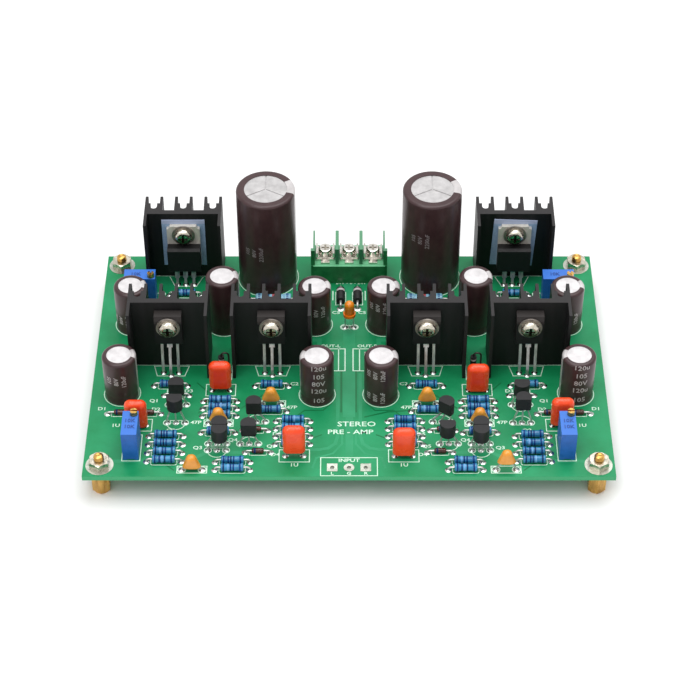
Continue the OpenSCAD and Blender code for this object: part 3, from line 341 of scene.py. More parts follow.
upright_ends = [(x + step, y) for x, y in upright_diodes for step in (0, upright_pitch)]
for x, y in beside([lamp_place], pin_pitch) + upright_ends:
    stamp(pads, shape, Matrix.Translation((x, y, board_top)))
piece("lead_pads", pads, [solder])
hole_r, plating_r = 0.6, 0.645
barrel = shape_of(turned([(hole_r, board_under - 0.03), (hole_r, board_top + 0.05),
                          (plating_r, board_top + 0.05), (plating_r, board_under - 0.03),
                          (hole_r, board_under - 0.03)], 24))
barrels = bmesh.new()
for x, y in input_wires + output_wires:
    stamp(barrels, barrel, Matrix.Translation((x, y, 0)))
piece("plated_barrels", barrels, [tinned])


# Tracks underneath
# Copper bands under the lacquer of the lower face. Each runs from one lead's hole to its nearest
# neighbour, straight and then at 45 degrees.
under_lacquer = finish("under_lacquer", (48, 160, 110), (64, 172, 124), 110, (0.3, 0.44), 0.00001,
                       Specular_IOR_Level=0.3)
under_w = 0.9
shortest_run = 2.7
under_h, under_step = 0.012, 0.0001
holes = [(side * x, y) for places, lead, ring in groups for x, y in places for side in (-1, 1)]
under_tracks = bmesh.new()
for number, (x, y) in enumerate(holes):
    far_x, far_y = min((hole for hole in holes if math.dist(hole, (x, y)) > shortest_run),
                       key=lambda hole: math.dist(hole, (x, y)))
    along, across = far_x - x, y - far_y
    slant = min(abs(along), abs(across))
    knee = (x + math.copysign(abs(along) - slant, along),
            -y + math.copysign(abs(across) - slant, across))
    path(under_tracks, [(x, -y), knee, (far_x, -far_y)], under_w, 0,
         under_h + under_step * number)
turned_under = Matrix.Translation((0, 0, board_under)) @ Matrix.Rotation(math.pi, 4, "X")
bmesh.ops.transform(under_tracks, verts=under_tracks.verts, matrix=turned_under)
piece("under_tracks", under_tracks, [under_lacquer])


# Screen print
# White ink on the lacquer, printed through a mesh before the parts went in. It outlines the place
# of each part, with plain letters beside it.
ink_level = board_top
ink_h = 0.03
ink = 0.25
letter_h = 0.012
letter_stretch = 1.2
large_ring_r = 9.4
can_ring_r = 5.35


def arc(bm, x, y, radius, start=0, end=360, width=ink):
    """A ring or arc of ink, from a short upright profile spun about its centre."""
    begin = math.radians(start)
    corners = [(-1, 0), (1, 0), (1, 1), (-1, 1)]
    points = [bm.verts.new((x + (radius + u * width / 2) * math.cos(begin),
                            y + (radius + u * width / 2) * math.sin(begin), ink_level + v * ink_h))
              for u, v in corners]
    edges = [bm.edges.new((points[i], points[i - 1])) for i in range(4)]
    steps = max(4, round((end - start) / 11))
    bmesh.ops.spin(bm, geom=points + edges, cent=(x, y, 0), axis=(0, 0, 1), dvec=(0, 0, 0),
                   angle=math.radians(end - start), steps=steps, use_merge=end - start == 360,
                   use_duplicate=False)


def stroke(bm, points, width=ink, closed=False):
    """Ink along a row of points."""
    path(bm, points, width, ink_level, ink_h, closed)


def box(bm, x, y, half_w, half_d):
    """A square-cornered box of ink about its centre."""
    stroke(bm, [(x - half_w, y - half_d), (x + half_w, y - half_d), (x + half_w, y + half_d),
                (x - half_w, y + half_d)], closed=True)


def rounded(bm, x, y, half_w, half_d, radius=0.7):
    """A box of ink with round corners."""
    for sx in (-1, 1):
        for sy in (-1, 1):
            corner = math.degrees(math.atan2(sy, sx)) - 45
            arc(bm, x + sx * (half_w - radius), y + sy * (half_d - radius), radius,
                corner, corner + 90)
        stroke(bm, [(x + sx * half_w, y - half_d + radius), (x + sx * half_w, y + half_d - radius)])
    for sy in (-1, 1):
        stroke(bm, [(x - half_w + radius, y + sy * half_d), (x + half_w - radius, y + sy * half_d)])


def sink_marks(bm, x, y, case_half_w, case_depth, closed):
    """The print at a heat sink: the transistor's slanted outline, and the sink's back and ends."""
    stroke(bm, [(x - 5.2, y - 0.5), (x - case_half_w, y - case_depth),
                (x + case_half_w, y - case_depth), (x + 5.2, y - 0.5)], 0.24, closed)
    stroke(bm, [(x - 12.1, y - 6.3), (x - 12.1, y), (x + 12.1, y), (x + 12.1, y - 6.3)])


def lettering(words, size, bold=0.03):
    """Plain letters as a closed mesh, centred, in mm."""
    curve = bpy.data.curves.new("letters", "FONT")
    curve.body = words
    curve.size = size
    curve.extrude = letter_h
    curve.offset = bold
    curve.resolution_u = 2
    curve.align_x = "CENTER"
    curve.align_y = "CENTER"
    holder = bpy.data.objects.new("letters", curve)
    bpy.context.scene.collection.objects.link(holder)
    bpy.context.view_layer.update()
    flat = holder.evaluated_get(bpy.context.evaluated_depsgraph_get())
    mesh = bpy.data.meshes.new_from_object(flat)
    bpy.data.objects.remove(holder)
    bpy.data.curves.remove(curve)
    return mesh


def write(bm, words, x, y, size=1.75):
    """Ink letters that lie on the board."""
    stamp(bm, lettering(words, size), Matrix.Translation((x, y, ink_level + 0.016))
          @ Matrix.Diagonal((letter_stretch, 1, 1, 1)))


white_ink = finish("white_ink", (196, 232, 208), (222, 246, 230), 700, (0.5, 0.7), 0.00001)
outlines = bmesh.new()
for side in (-1, 1):
    for x, y in large_cans:
        arc(outlines, side * x, y, large_ring_r)
    for x, y in tall_cans + short_cans:
        arc(outlines, side * x, y, can_ring_r)
    for x, y in films:
        box(outlines, side * x, y, 4.35, 2.4)
    for x, y in ceramics:
        box(outlines, side * x, y, 4.25, 1.35)
        for end in (-1, 1):
            arc(outlines, side * x + end * ceramic_pitch / 2, y, 1.12)
    for x, y in resistors:
        rounded(outlines, side * x, y, 3.75, 1.25)
    for x, y in power_resistors:
        rounded(outlines, side * x, y, 6.1, 2.0)
    for x, y in glass_diodes:
        rounded(outlines, side * x, y, 2.5, 1.05, 0.4)
        for end in (-1, 1):
            stroke(outlines, [(side * x + end * 2.5, y), (side * x + end * 2.75, y)])
    for x, y in rectifiers:
        box(outlines, side * x, y, 1.55, 2.9)
        stroke(outlines, [(side * x - 1.5, y + 2.1), (side * x + 1.5, y + 2.1)], 0.4)
        stroke(outlines, [(side * 5, y - 0.6), (side * 5, y + 3.4)], 0.3)
    for (x, y), turned_round in zip(plastic_transistors, round_in_front[side]):
        flip = 180 * turned_round
        arc(outlines, side * x, y, 2.75, 25 + flip, 155 + flip)
        arc(outlines, side * x, y, 0.85)
        level = y + (0.9 if flip else -0.9)
        stroke(outlines, [(side * x - 2.5, level), (side * x + 2.5, level)])
        for end in (-1, 1):
            arc(outlines, side * x + end * transistor_pitch, y, 1.05)
    box(outlines, side * front_trimmer[0], front_trimmer[1], 2.6, 5.2)
    box(outlines, side * rear_trimmer[0], rear_trimmer[1], 5.2, 2.75)
    for x, y in front_sinks:
        sink_marks(outlines, side * x, y, 4.1, 4.7, closed=True)
    sink_marks(outlines, side * rear_sink[0], rear_sink[1], 3.3, 4.9, closed=False)
    stroke(outlines, [(side * 1.2, 5.1), (side * 8.75, 5.1), (side * 8.75, -4.4),
                      (side * 1.2, -4.4)], 0.32, closed=True)
    stroke(outlines, [(side * 3.15, 5.1), (side * 3.15, -4.4)], 0.3)
stroke(outlines, [(-8.1, -40.1), (8.1, -40.1), (8.1, -47.2), (-8.1, -47.2)], 0.26, closed=True)
x, y = lamp_place
for end in (-1, 1):
    arc(outlines, x + end * 1.55, y, 1.0, width=0.5)
    arc(outlines, x, y + end * 0.42, 0.42)
bmesh.ops.recalc_face_normals(outlines, faces=outlines.faces)
piece("printed_outlines", outlines, [white_ink])

letters = bmesh.new()
for words, x, y, size in (
        ("STEREO", 2.2, -26.7, 2.7), ("PRE - AMP", 0.4, -29.9, 2.5),
        ("INPUT", 0, -41.2, 1.8), ("L", -4.8, -46.3, 1.5), ("G", 0, -46.3, 1.5),
        ("R", 4.8, -46.3, 1.5), ("OUT-L", -5.6, 6.3, 1.7), ("OUT-R", 5.6, 6.3, 1.7),
        ("24V - 0 - 24V", 0.6, 34.8, 1.45)):
    write(letters, words, x, y, size)
marks = [("1U", 15.7, -43.0), ("1U", 67.9, -27.2), ("47P", 16.8, -19.8),
         ("47P", 44.6, -26.0), ("R1", 52.8, -13.1), ("R2", 22.9, -13.2), ("C1", 60.5, -18.8),
         ("C2", 16.2, -10.0), ("Q1", 57.4, -17.1), ("Q2", 51.7, -29.2), ("Q3", 43.6, -36.2),
         ("Q4", 33.6, -33.1), ("Q5", 22.4, -35.6), ("D1", 72.4, -20.4), ("D2", 56.6, -20.6),
         ("D3", 47.4, -13.0), ("D4", 21.2, -38.9), ("D5", 20.9, -30.7), ("C3", 59.4, 20.6),
         ("C4", 44.6, 21.2), ("C5", 4.0, 21.2), ("R3", 57.8, 29.6), ("R4", 33.6, 26.2),
         ("C6", 36.8, 33.8), ("VR2", 70.6, 31.6)]
for words, x, y in marks:
    for side in (-1, 1):
        write(letters, words, side * x, y)
piece("printed_letters", letters, [white_ink])


# Standoffs, studs and nuts
# Brass hexagons under the corners, turned from bar, with chamfered ends. Each has a threaded stud
# that comes up through the board and holds a plated steel nut, and a tapped hole in its foot.
brass = finish("brass", (172, 130, 62), (222, 178, 104), 700, (0.2, 0.38), 0.00003,
               stretch=(1, 1, 0.25), Metallic=1.0)
nut_steel = finish("nut_steel", (170, 165, 150), (220, 214, 198), 800, (0.2, 0.34), 0.00003,
                   Metallic=1.0)
dress(nut_steel, "standoff_nuts")
corners = [(sx * 71.3, sy * 43.0) for sx in (-1, 1) for sy in (-1, 1)]
half_flats = 2.5
thread_pitch = 0.5
thread_depth = 0.14


def ridges(radius, low, high):
    """The profile of a thread from low up to high, as a row of rings."""
    points = []
    for i in range(round((high - low) / thread_pitch)):
        points += [(radius - thread_depth, low + thread_pitch * i),
                   (radius, low + thread_pitch * i + thread_pitch / 2)]
    return points + [(radius - thread_depth, high)]


foot_hole = [(0, 5.6), (1.2, 5.0)] + [(r, 5.8 - z) for r, z in ridges(1.27, 0.8, 5.3)]
hexagon = [(1.5, 0.2), (1.7, 0), (2.3, 0), (3, 0.7), (3, 7.7), (2.4, 8)]
stud = [(1.45, 8), (1.45, 9.7)] + ridges(1.45, 12, 13.5)
stud_tip = [(1.02, 13.72), (0.62, 13.86), (0.3, 13.8), (0, 13.76)]
standoff = turned(foot_hole + hexagon + stud + stud_tip, 48)
for vert in standoff.verts:
    reach = math.hypot(vert.co.x, vert.co.y)
    if reach > 2.9:
        off_flat = (math.degrees(math.atan2(vert.co.y, vert.co.x)) + 30) % 60 - 30
        squash = half_flats / math.cos(math.radians(off_flat)) / reach
        vert.co.x *= squash
        vert.co.y *= squash
standoff = shape_of(standoff)
standoffs = bmesh.new()
for x, y in corners:
    stamp(standoffs, standoff, Matrix.Translation((x, y, 0)))
made_piece = piece("brass_standoffs", standoffs, [brass], sharp=0.35)
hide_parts("standoffs")


# Heat sinks
# Extruded aluminium, sawn to length and black anodised. The sawn ends are greyer than the sides.
# Two tinned pins in each hold it to the board.
sink_h = 25.4
anodised = finish("black_anodised", (14, 14, 15), (28, 27, 28), 420, (0.42, 0.6), 0.00003,
                  stretch=(1, 1, 0.06), Metallic=0.2, Specular_IOR_Level=0.35)
zone(anodised, "Z", board_top + sink_h - 0.12, board_top + sink_h, (38, 36, 37))
dress(anodised, "left_outer_heat_sink", "left_inner_heat_sink", "right_inner_heat_sink",
      "right_outer_heat_sink", "left_rear_heat_sink", "right_rear_heat_sink")
lead_wire = finish("tinned_wire", (172, 172, 170), (222, 222, 218), 1100, (0.3, 0.48), 0.00002,
                   stretch=(1, 1, 0.2), Metallic=0.75)
dress(lead_wire, "heat_sink_pins")


# Front power transistors
# Small black packages, moulded of epoxy round the chip, with a hole for the screw and three flat
# tinned leads. The same epoxy makes the small transistors.
# The top band of each case, over its chamfer, has a painted highlight: a lighter brown-grey.
case_highlight_low, case_top = 19.7, 22.21
epoxy = finish("black_epoxy", (18, 18, 20), (34, 33, 35), 900, (0.46, 0.62), 0.00003,
               Specular_IOR_Level=0.35)
case_black_painted_highlight = finish("case_black_painted_highlight", (8, 8, 9), (17, 16, 17), 900, (0.5, 0.66), 0.00003,
                    Specular_IOR_Level=0.3)
zone(case_black_painted_highlight, "Z", board_top + case_highlight_low, board_top + case_top, (44, 40, 39))
dress(case_black_painted_highlight, "front_power_transistors", "rear_power_transistor_cases")
dress(epoxy, "small_transistors")
dress(lead_wire, "front_power_transistor_leads", "rear_power_transistor_leads",
      "small_transistor_leads", "capacitor_leads", "film_capacitor_leads",
      "ceramic_capacitor_leads", "resistor_leads", "power_resistor_leads", "signal_diode_leads",
      "indicator_lamp_leads", "trimmer_pins")


# Rear power transistors
# Epoxy cases on plated copper tabs. A light blue pad of filled silicone parts each tab from its
# sink. Along its free upper edge the pad has a painted highlight, a paler blue.
pad_highlight_low, pad_top = 21.6, 24
tab_metal = finish("plated_tab", (196, 191, 182), (226, 221, 211), 600, (0.36, 0.5), 0.00002,
                   stretch=(1, 1, 0.3), Metallic=0.3)
silicone = finish("blue_silicone", (130, 158, 190), (152, 178, 208), 1300, (0.6, 0.8), 0.00004)
# Painted highlight: a paler blue along the pads' upper edge.
zone(silicone, "Z", board_top + pad_highlight_low, board_top + pad_top, (172, 184, 212))
dress(tab_metal, "rear_power_transistor_tabs")
dress(silicone, "insulating_pads")


# Transistor screws
# Pan-head screws of plated steel, each on a plain washer, clamp the transistors to the sinks.
# Painted shade dulls the lower half of each head, and dark painted shade fills its recess floor.
head_shade_low, head_shade_high = 15.3, 17.9
recess_floors = (-6.465, 35.335)
recess_shade_reach = 0.03
screw_steel_painted_shade = finish("screw_steel_painted_shade", (180, 174, 160), (234, 228, 212), 900, (0.2, 0.34), 0.00003,
                     Metallic=1.0)
# Painted shade: the lower half of each head is a dull brown.
zone(screw_steel_painted_shade, "Z", board_top + head_shade_low, board_top + head_shade_high, (104, 92, 80))
# Painted shade: the bottom of each recess is dark.
for recess in recess_floors:
    zone(screw_steel_painted_shade, "Y", recess - recess_shade_reach, recess + recess_shade_reach, (44, 40, 36))
washer_steel = finish("washer_steel", (118, 110, 104), (168, 160, 152), 500, (0.34, 0.5), 0.00003,
                      Metallic=0.8)
dress(screw_steel_painted_shade, "transistor_screws")
dress(washer_steel, "screw_washers")


# Electrolytic capacitors
# Aluminium cans in shrunk plastic sleeves of a dark maroon brown, with a silver stripe on the
# negative side that runs up over the lip. A rubber seal closes the foot.
stripe_sweep = 45
print_lift = 0.02
sleeve_brown = finish("brown_sleeve", (57, 38, 40), (67, 46, 47), 260, (0.3, 0.4), 0.00001,
                      Specular_IOR_Level=0.25, Coat_Weight=0.22, Coat_Roughness=0.24)
sleeve_silver = finish("silver_stripe", (176, 172, 172), (206, 202, 202), 260, (0.3, 0.44), 0.00002,
                       Metallic=0.3, Coat_Weight=0.4, Coat_Roughness=0.15)
can_metal = finish("can_aluminium", (198, 195, 196), (218, 215, 216), 500, (0.34, 0.48), 0.00002,
                   Metallic=0.4)
large_metal = finish("large_can_aluminium", (172, 170, 170), (192, 190, 190), 500, (0.34, 0.48),
                     0.00002, Metallic=0.4)
rubber = finish("seal_rubber", (26, 25, 25), (44, 42, 42), 900, (0.6, 0.8), 0.00003)
pale_print = finish("pale_print", (166, 157, 158), (194, 185, 186), 900, (0.4, 0.55), 0.00001)
dim_print = finish("dim_print", (124, 113, 116), (148, 137, 140), 900, (0.4, 0.55), 0.00001)
dress(can_metal, "tall_capacitor_cans", "short_capacitor_cans")
dress(large_metal, "large_capacitor_cans")
dress(rubber, "capacitor_seals")


def sleeve(diameter, height, stripe):
    """A sleeve turned about Z, with a faint groove over the can's crimp and the rolled lip. The
    spin starts where the stripe does, and its first faces take the stripe's material."""
    r = diameter / 2
    wall, lip, edge = 0.2, 2.3 if diameter > 12 else 1.2, 0.9
    outer = [(r, 0), (r, 1.75), (r - 0.06, 2.2), (r - 0.08, 2.6), (r - 0.06, 3.0), (r, 3.45),
             (r, height - edge)]
    outer += [(r - edge + edge * math.cos(math.radians(a)),
               height - edge + edge * math.sin(math.radians(a))) for a in (18, 36, 54, 72, 90)]
    inner = [(r - wall - lip, height), (r - wall - lip, height - wall), (r - edge, height - wall),
             (r - wall, height - edge), (r - wall, 0), (r, 0)]
    start = math.radians(stripe - stripe_sweep / 2)
    bm = turned(outer + inner, 64, start)
    for face in bm.faces:
        spot = face.calc_center_median()
        ahead = (math.atan2(spot.y, spot.x) - start) % math.tau
        face.material_index = 1 if ahead < math.radians(stripe_sweep) else 0
    return shape_of(bm)


def wrap(bm, words, x, y, radius, height, angle, size, turn=0, wide=1.0):
    """Letters bent round a sleeve: the text's middle is at the angle and height."""
    flat = bmesh.new()
    flat.from_mesh(lettering(words, size, 0.02))
    bmesh.ops.subdivide_edges(flat, edges=[e for e in flat.edges if e.calc_length() > 0.8], cuts=1)
    bmesh.ops.transform(flat, verts=flat.verts, matrix=Matrix.Rotation(math.radians(turn), 4, "Z")
                        @ Matrix.Diagonal((wide, 1, 1, 1)))
    for vert in flat.verts:
        along, up, out = vert.co
        theta = math.radians(angle) + along / radius
        vert.co = (x + (radius + out + print_lift) * math.cos(theta),
                   y + (radius + out + print_lift) * math.sin(theta), height + up)
    stamp(bm, shape_of(flat), Matrix())


right_stripe = 8  # directions in degrees, anticlockwise from the right
left_stripe = 174
turned_away = 70
# The diameter, height and step between words of each kind, then of each can its place, the
# directions of its stripe and print, and the print's heights.
striped = {
    "large": (18, 35.5, 14.5, [(-25.2, 37.8, right_stripe, -114, [16.7]),
                               (25.2, 37.8, right_stripe, -114, [22])]),
    "tall": (10, 20, 26, [(-38, 15.9, right_stripe, turned_away, [9]),
                          (38, 15.9, right_stripe, turned_away, [9])]),
    "short": (10, 16, 26, [(-66.9, -14, right_stripe, -99, [9.4]),
                           (-9.4, -14.4, left_stripe, -84, [15, 11.8, 8.9, 6, 2.2]),
                           (9.4, -14.4, right_stripe, -110, [12.2, 3.2]),
                           (66.9, -14, left_stripe, -84, [15, 11.8, 8.9, 6, 2.2]),
                           (-65.8, 16.1, right_stripe, -128, [5]),
                           (-10.4, 15.9, right_stripe, -84, [9]),
                           (10.4, 15.9, right_stripe, -110, [11]),
                           (65.8, 16.1, right_stripe, -82, [6])]),
}
for kind, (diameter, height, step, places) in striped.items():
    sleeves = bmesh.new()
    rating = bmesh.new()
    radius = diameter / 2
    capacity = "2200uF" if kind == "large" else "120uF"
    for x, y, stripe, facing, levels in places:
        stamp(sleeves, sleeve(diameter, height, stripe), Matrix.Translation((x, y, board_top)))
        if stripe == left_stripe:
            for level, words in zip(levels, ("120u", "105", "80V", "120u", "105")):
                wrap(rating, words, x, y, radius, board_top + level, facing, 2.4, wide=1.05)
        else:
            for number, words in enumerate(("105", "80V", capacity)):
                for level in levels:
                    wrap(rating, words, x, y, radius, board_top + level,
                         facing + (number - 1) * step, 1.9, turn=90)
        for level in range(3, int(height) - 2, 5):
            wrap(rating, "-", x, y, radius, board_top + level, stripe, 4, turn=90)
    made_piece = piece(kind + "_sleeves", sleeves, [sleeve_brown, sleeve_silver])
    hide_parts(kind + "_capacitor_sleeves")
    bmesh.ops.recalc_face_normals(rating, faces=rating.faces)
    piece(kind + "_sleeve_print", rating, [dim_print if kind == "large" else pale_print])


# Film capacitors
# Blocks of wound film, dipped in glossy red epoxy that rounds every edge. Each stands on two leads
# that are soldered under the board.
red_resin = finish("red_resin", (236, 60, 18), (252, 82, 34), 180, (0.2, 0.32), 0.00008,
                   Coat_Weight=0.2, Coat_Roughness=0.12, Specular_IOR_Level=0.35)
dress(red_resin, "film_capacitors")


# Ceramic capacitors
# Small chips dipped in orange-yellow resin: a drop with a narrow round top, spreading sides and a
# rounded foot. Each stands on its splayed leads, as high as it was pushed in.
orange_resin = finish("orange_resin", (222, 142, 34), (240, 164, 58), 300, (0.24, 0.4), 0.0001,
                      Coat_Weight=0.3, Coat_Roughness=0.15)
drop_w, drop_t, drop_h, drop_top_r = 5.6, 2.6, 4.7, 1.55
drop_lifts = {-1: (1.9, 1.4, 1.1), 1: (1.9, 1.4, 3.0)}
shoulder, taper = 0.36, 0.37
foot_edge, face_edge, crown_edge = 0.5, 0.6, 1.25
roundness = 0.8


def quarter(distance, radius):
    """How far a rounded edge is drawn in at a distance from its end."""
    return 0 if distance >= radius else radius - math.sqrt(distance * (2 * radius - distance))


drop = bmesh.new()
bmesh.ops.create_uvsphere(drop, u_segments=28, v_segments=18, radius=1)
for vert in drop.verts:
    rim = max(math.hypot(vert.co.x, vert.co.y), 0.001)
    level = (vert.co.z + 1) / 2 * drop_h
    centre = drop_h - drop_top_r
    if level > centre + shoulder:
        half_w = math.sqrt(max(drop_top_r ** 2 - (level - centre) ** 2, 0))
    else:
        half_w = drop_w / 2 - level * taper
    half_w -= quarter(level, foot_edge)
    half_t = drop_t / 2 - quarter(level, face_edge) - quarter(drop_h - level, crown_edge)
    vert.co = (math.copysign(abs(vert.co.x / rim) ** roundness, vert.co.x) * max(half_w, 0),
               math.copysign(abs(vert.co.y / rim) ** roundness, vert.co.y) * max(half_t, 0), level)
bmesh.ops.remove_doubles(drop, verts=drop.verts, dist=0.001)
bmesh.ops.recalc_face_normals(drop, faces=drop.faces)
drop = shape_of(drop)
drops = bmesh.new()
for side in (-1, 1):
    for (x, y), lift in zip(ceramics, drop_lifts[side]):
        stamp(drops, drop, Matrix.Translation((side * x, y, board_top + lift)))
made_piece = piece("ceramic_drops", drops, [orange_resin])
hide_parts("ceramic_capacitors")


# Resistors
# Metal film on a ceramic core with pressed-on end caps, lacquered blue and marked with painted
# bands. The leads are bent down through the board. Two larger ones are paler.
blue_lacquer = finish("blue_lacquer", (16, 98, 146), (42, 136, 182), 320, (0.24, 0.38), 0.00003,
                      Coat_Weight=0.2, Coat_Roughness=0.15)
pale_lacquer = finish("pale_blue_lacquer", (110, 168, 196), (146, 196, 216), 320, (0.3, 0.44),
                      0.00003, Coat_Weight=0.3, Coat_Roughness=0.2)
dress(blue_lacquer, "resistor_bodies")
dress(pale_lacquer, "power_resistor_bodies")
band_tones = {
    "blue": ((10, 50, 106), (20, 66, 128)), "midnight": ((6, 32, 76), (14, 46, 96)),
    "red": ((150, 26, 24), (184, 44, 38)), "sky": ((96, 150, 204), (124, 174, 220)),
    "navy": ((8, 42, 100), (16, 58, 122)),
}
band_paint = {name: finish("band_" + name, dark, light, 700, (0.4, 0.55), 0.00001,
                           Specular_IOR_Level=0.15)
              for name, (dark, light) in band_tones.items()}
along_x = Matrix.Rotation(math.pi / 2, 4, "Y")


def band(radius, width, material_index):
    """A painted ring, turned about Z, that stands a hair above the body."""
    inner, outer = radius - 0.1, radius + 0.02
    bm = turned([(inner, -width / 2), (outer, -width / 2), (outer, width / 2), (inner, width / 2),
                 (inner, -width / 2)], 18)
    for face in bm.faces:
        face.material_index = material_index
    return shape_of(bm)


end_r, waist_r, band_w = 1.2, 1.025, 0.46
power_end_r, power_waist_r, power_band_w = 1.75, 1.5, 0.8
codes = [("navy", "midnight", "navy", "navy", "midnight"),
         ("navy", "navy", "midnight", "blue", "navy"),
         ("midnight", "sky", "navy", "navy", "blue"),
         ("navy", "navy", "sky", "midnight", "navy"),
         ("midnight", "navy", "navy", "sky", "midnight")]
places = [(-2.45, end_r), (-1.15, waist_r), (-0.4, waist_r), (0.4, waist_r), (2.3, end_r)]
power_code = ("blue", "midnight", "red", "midnight", "blue")
power_places = [(-4.3, power_end_r), (-1.6, power_waist_r), (0, power_waist_r),
                (1.6, power_waist_r), (4.3, power_end_r)]
paints = list(band_paint)
rings = {(radius, name): band(radius, band_w, paints.index(name))
         for radius in (end_r, waist_r) for name in paints}
bands = bmesh.new()
for number, (x, y) in enumerate(resistors):
    for side in (-1, 1):
        for (step, radius), name in zip(places, codes[(number + (side > 0)) % len(codes)]):
            stamp(bands, rings[radius, name],
                  Matrix.Translation((side * x + step, y, board_top + end_r)) @ along_x)
for x, y in power_resistors:
    for side in (-1, 1):
        for (step, radius), name in zip(power_places, power_code):
            stamp(bands, band(radius, power_band_w, paints.index(name)),
                  Matrix.Translation((side * x + step, y, board_top + power_end_r)) @ along_x)
piece("resistor_bands", bands, list(band_paint.values()))


# Diodes
# Small signal diodes of amber glass with a dark band at the cathode. Two moulded rectifiers, and
# two thinner ones that stand on end, are black with a pale band. All hang on their leads.
glass_r, moulded_r, upright_r = 0.8, 1.35, 0.9
amber_glass = finish("amber_glass", (58, 24, 20), (104, 46, 34), 500, (0.08, 0.18), 0.00002,
                     Transmission_Weight=0.25, IOR=1.5)
diode_wire_painted_shade = finish("diode_wire_painted_shade", (166, 166, 163), (214, 214, 210), 1100, (0.3, 0.48), 0.00002,
                    stretch=(1, 1, 0.2), Metallic=0.75)
# Painted shade: the leads are a dark grey-brown from 3.2 mm above the board up.
zone(diode_wire_painted_shade, "Z", board_top + 3.2, board_top + 12, (74, 70, 66))
dress(diode_wire_painted_shade, "rectifier_diode_leads")
dress(amber_glass, "signal_diodes")
dress(epoxy, "rectifier_diodes")
cathodes = bmesh.new()
for x, y in glass_diodes:
    for side in (-1, 1):
        stamp(cathodes, band(glass_r, 0.55, 0),
              Matrix.Translation((side * x - 0.85, y, board_top + glass_r)) @ along_x)
for x, y in rectifiers:
    for side in (-1, 1):
        stamp(cathodes, band(moulded_r, 0.9, 1),
              Matrix.Translation((side * x, y + 1.7, board_top + moulded_r))
              @ Matrix.Rotation(math.pi / 2, 4, "X"))
for x, y in upright_diodes:
    stamp(cathodes, band(upright_r, 0.6, 1), Matrix.Translation((x, y, board_top + 5.6)))
piece("diode_bands", cathodes, [band_paint["midnight"], pale_print])


# Indicator lamp
# A small light-emitting diode, cast in clear orange resin with a domed end, whose painted highlight
# is a brighter orange. It stands on two leads.
dome_highlight_low, dome_top = 8.4, 10.6
lamp_resin = finish("orange_lamp", (240, 120, 16), (252, 144, 34), 250, (0.08, 0.16), 0.00001,
                    Transmission_Weight=0.2, IOR=1.5)
# Painted highlight: a brighter orange over the dome.
zone(lamp_resin, "Z", board_top + dome_highlight_low, board_top + dome_top, (250, 150, 34))
dress(lamp_resin, "indicator_lamp")


# Trimmers
# Blue moulded boxes that hold a resistance track, with a slotted brass screw at one corner that
# moves the wiper. The value is printed on the top, and three pins go through the board.
trimmer_h = 10.4
value_level = 10.41
trimmer_blue_painted_highlight = finish("trimmer_blue_painted_highlight", (22, 88, 172), (32, 100, 188), 500, (0.36, 0.5), 0.00003)
# Painted highlight: the top face of each box is a lighter blue.
zone(trimmer_blue_painted_highlight, "Z", board_top + trimmer_h - 0.15, board_top + trimmer_h, (50, 112, 204))
trimmer_brass = finish("trimmer_brass", (176, 132, 66), (226, 186, 110), 900, (0.18, 0.34), 0.00002,
                       Metallic=1.0)
dress(trimmer_blue_painted_highlight, "trimmer_bodies")
dress(trimmer_brass, "left_front_trimmer_screw", "right_front_trimmer_screw",
      "left_rear_trimmer_screw", "right_rear_trimmer_screw")
navy_print = finish("navy_print", (18, 58, 132), (28, 74, 152), 900, (0.4, 0.55), 0.00001)
values = bmesh.new()
for side in (-1, 1):
    for (x, y), (step_x, step_y) in ((front_trimmer, (0, -1.6)), (front_trimmer, (0, 0.8)),
                                     (rear_trimmer, (-1.2, 0))):
        stamp(values, lettering("10K", 1.9),
              Matrix.Translation((side * x + step_x, y + step_y, board_top + value_level)))
piece("trimmer_values", values, [navy_print])


# Terminal block
# A green moulded housing with three ways. A bent clamp plate and a plated screw in each way hold
# the wire on a bright metal strip, whose pin is soldered under the board.
housing_green_painted_highlight = finish("housing_green_painted_highlight", (16, 92, 46), (34, 118, 66), 500, (0.34, 0.5), 0.00003)
# Painted highlights: the upward faces at 7 and 13 mm over the board are a lighter green.
for lit_face_level, colour in ((7, (96, 176, 128)), (13, (84, 142, 106))):
    zone(housing_green_painted_highlight, "Z", board_top + lit_face_level - 0.05, board_top + lit_face_level + 0.05, colour)
# A thin band across y 35.7 to 35.84 mm is a lighter green.
zone(housing_green_painted_highlight, "Y", 35.7, 35.84, (44, 112, 76))
nickel = finish("nickel_plate", (186, 182, 174), (236, 232, 224), 900, (0.12, 0.28), 0.00003,
                Metallic=1.0)
dress(housing_green_painted_highlight, "terminal_housing")
dress(nickel, "terminal_strips")
for way in ("left", "centre", "right"):
    dress(nickel, way + "_terminal_clamp", way + "_terminal_screw")


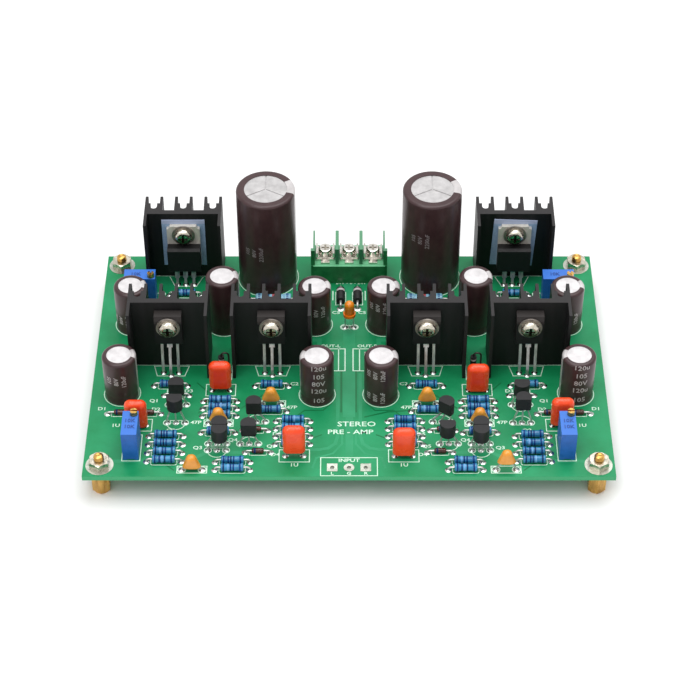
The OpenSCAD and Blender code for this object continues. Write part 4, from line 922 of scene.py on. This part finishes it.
# Floor, light and camera
# A plain pale floor, two wide soft lamps overhead, and a camera at the photograph's viewing angle.
# The room is white where it is seen, in metal and glass too, and lights the board more softly.
room_strength = 0.55
floor_shape = bmesh.new()
bmesh.ops.create_grid(floor_shape, x_segments=1, y_segments=1, size=3)
floor_mesh = bpy.data.meshes.new("floor")
floor_shape.to_mesh(floor_mesh)
floor_shape.free()
floor = bpy.data.objects.new("floor", floor_mesh)
bpy.context.scene.collection.objects.link(floor)
paper = bpy.data.materials.new("paper")
paper.use_nodes = True
tree = paper.node_tree
matt = tree.nodes.new("ShaderNodeBsdfDiffuse")
matt.inputs["Color"].default_value = (0.9, 0.9, 0.9, 1)
tree.links.new(matt.outputs["BSDF"], tree.nodes["Material Output"].inputs["Surface"])
floor_mesh.materials.append(paper)

world = bpy.data.worlds.new("studio")
bpy.context.scene.world = world
world.use_nodes = True
tree = world.node_tree
room = tree.nodes["Background"]
room.inputs["Color"].default_value = (1, 1, 1, 1)
room.inputs["Strength"].default_value = room_strength
white = tree.nodes.new("ShaderNodeBackground")
white.inputs["Color"].default_value = (1, 1, 1, 1)
white.inputs["Strength"].default_value = 1.0
seen = tree.nodes.new("ShaderNodeLightPath")
direct = tree.nodes.new("ShaderNodeMath")
direct.operation = "MAXIMUM"
either = tree.nodes.new("ShaderNodeMath")
either.operation = "MAXIMUM"
both = tree.nodes.new("ShaderNodeMixShader")
tree.links.new(seen.outputs["Is Camera Ray"], direct.inputs[0])
tree.links.new(seen.outputs["Is Transmission Ray"], direct.inputs[1])
tree.links.new(direct.outputs["Value"], either.inputs[0])
tree.links.new(seen.outputs["Is Glossy Ray"], either.inputs[1])
tree.links.new(either.outputs["Value"], both.inputs["Fac"])
tree.links.new(room.outputs["Background"], both.inputs[1])
tree.links.new(white.outputs["Background"], both.inputs[2])
tree.links.new(both.outputs["Shader"], tree.nodes["World Output"].inputs["Surface"])

for name, place, turn, size, power in (
        ("lamp_above", (0.1, 0.15, 0.75), (-10, 8, 0), 0.7, 4.8),
        ("lamp_front", (-0.3, -0.35, 0.8), (30, 0, -40), 0.5, 2.65)):
    lamp_data = bpy.data.lights.new(name, "AREA")
    lamp_data.size = size
    lamp_data.energy = power
    lamp = bpy.data.objects.new(name, lamp_data)
    lamp.location = place
    lamp.rotation_euler = [math.radians(a) for a in turn]
    bpy.context.scene.collection.objects.link(lamp)

camera_data = bpy.data.cameras.new("camera")
camera_data.lens = 110.96
camera_data.sensor_width = 36
camera_data.clip_start = 0.05
camera = bpy.data.objects.new("camera", camera_data)
camera.location = (0.000285, -0.46626, 0.45895)
camera.rotation_euler = (math.radians(46.34), 0, 0)
bpy.context.scene.collection.objects.link(camera)
bpy.context.scene.camera = camera
bpy.context.scene.view_settings.view_transform = "Standard"
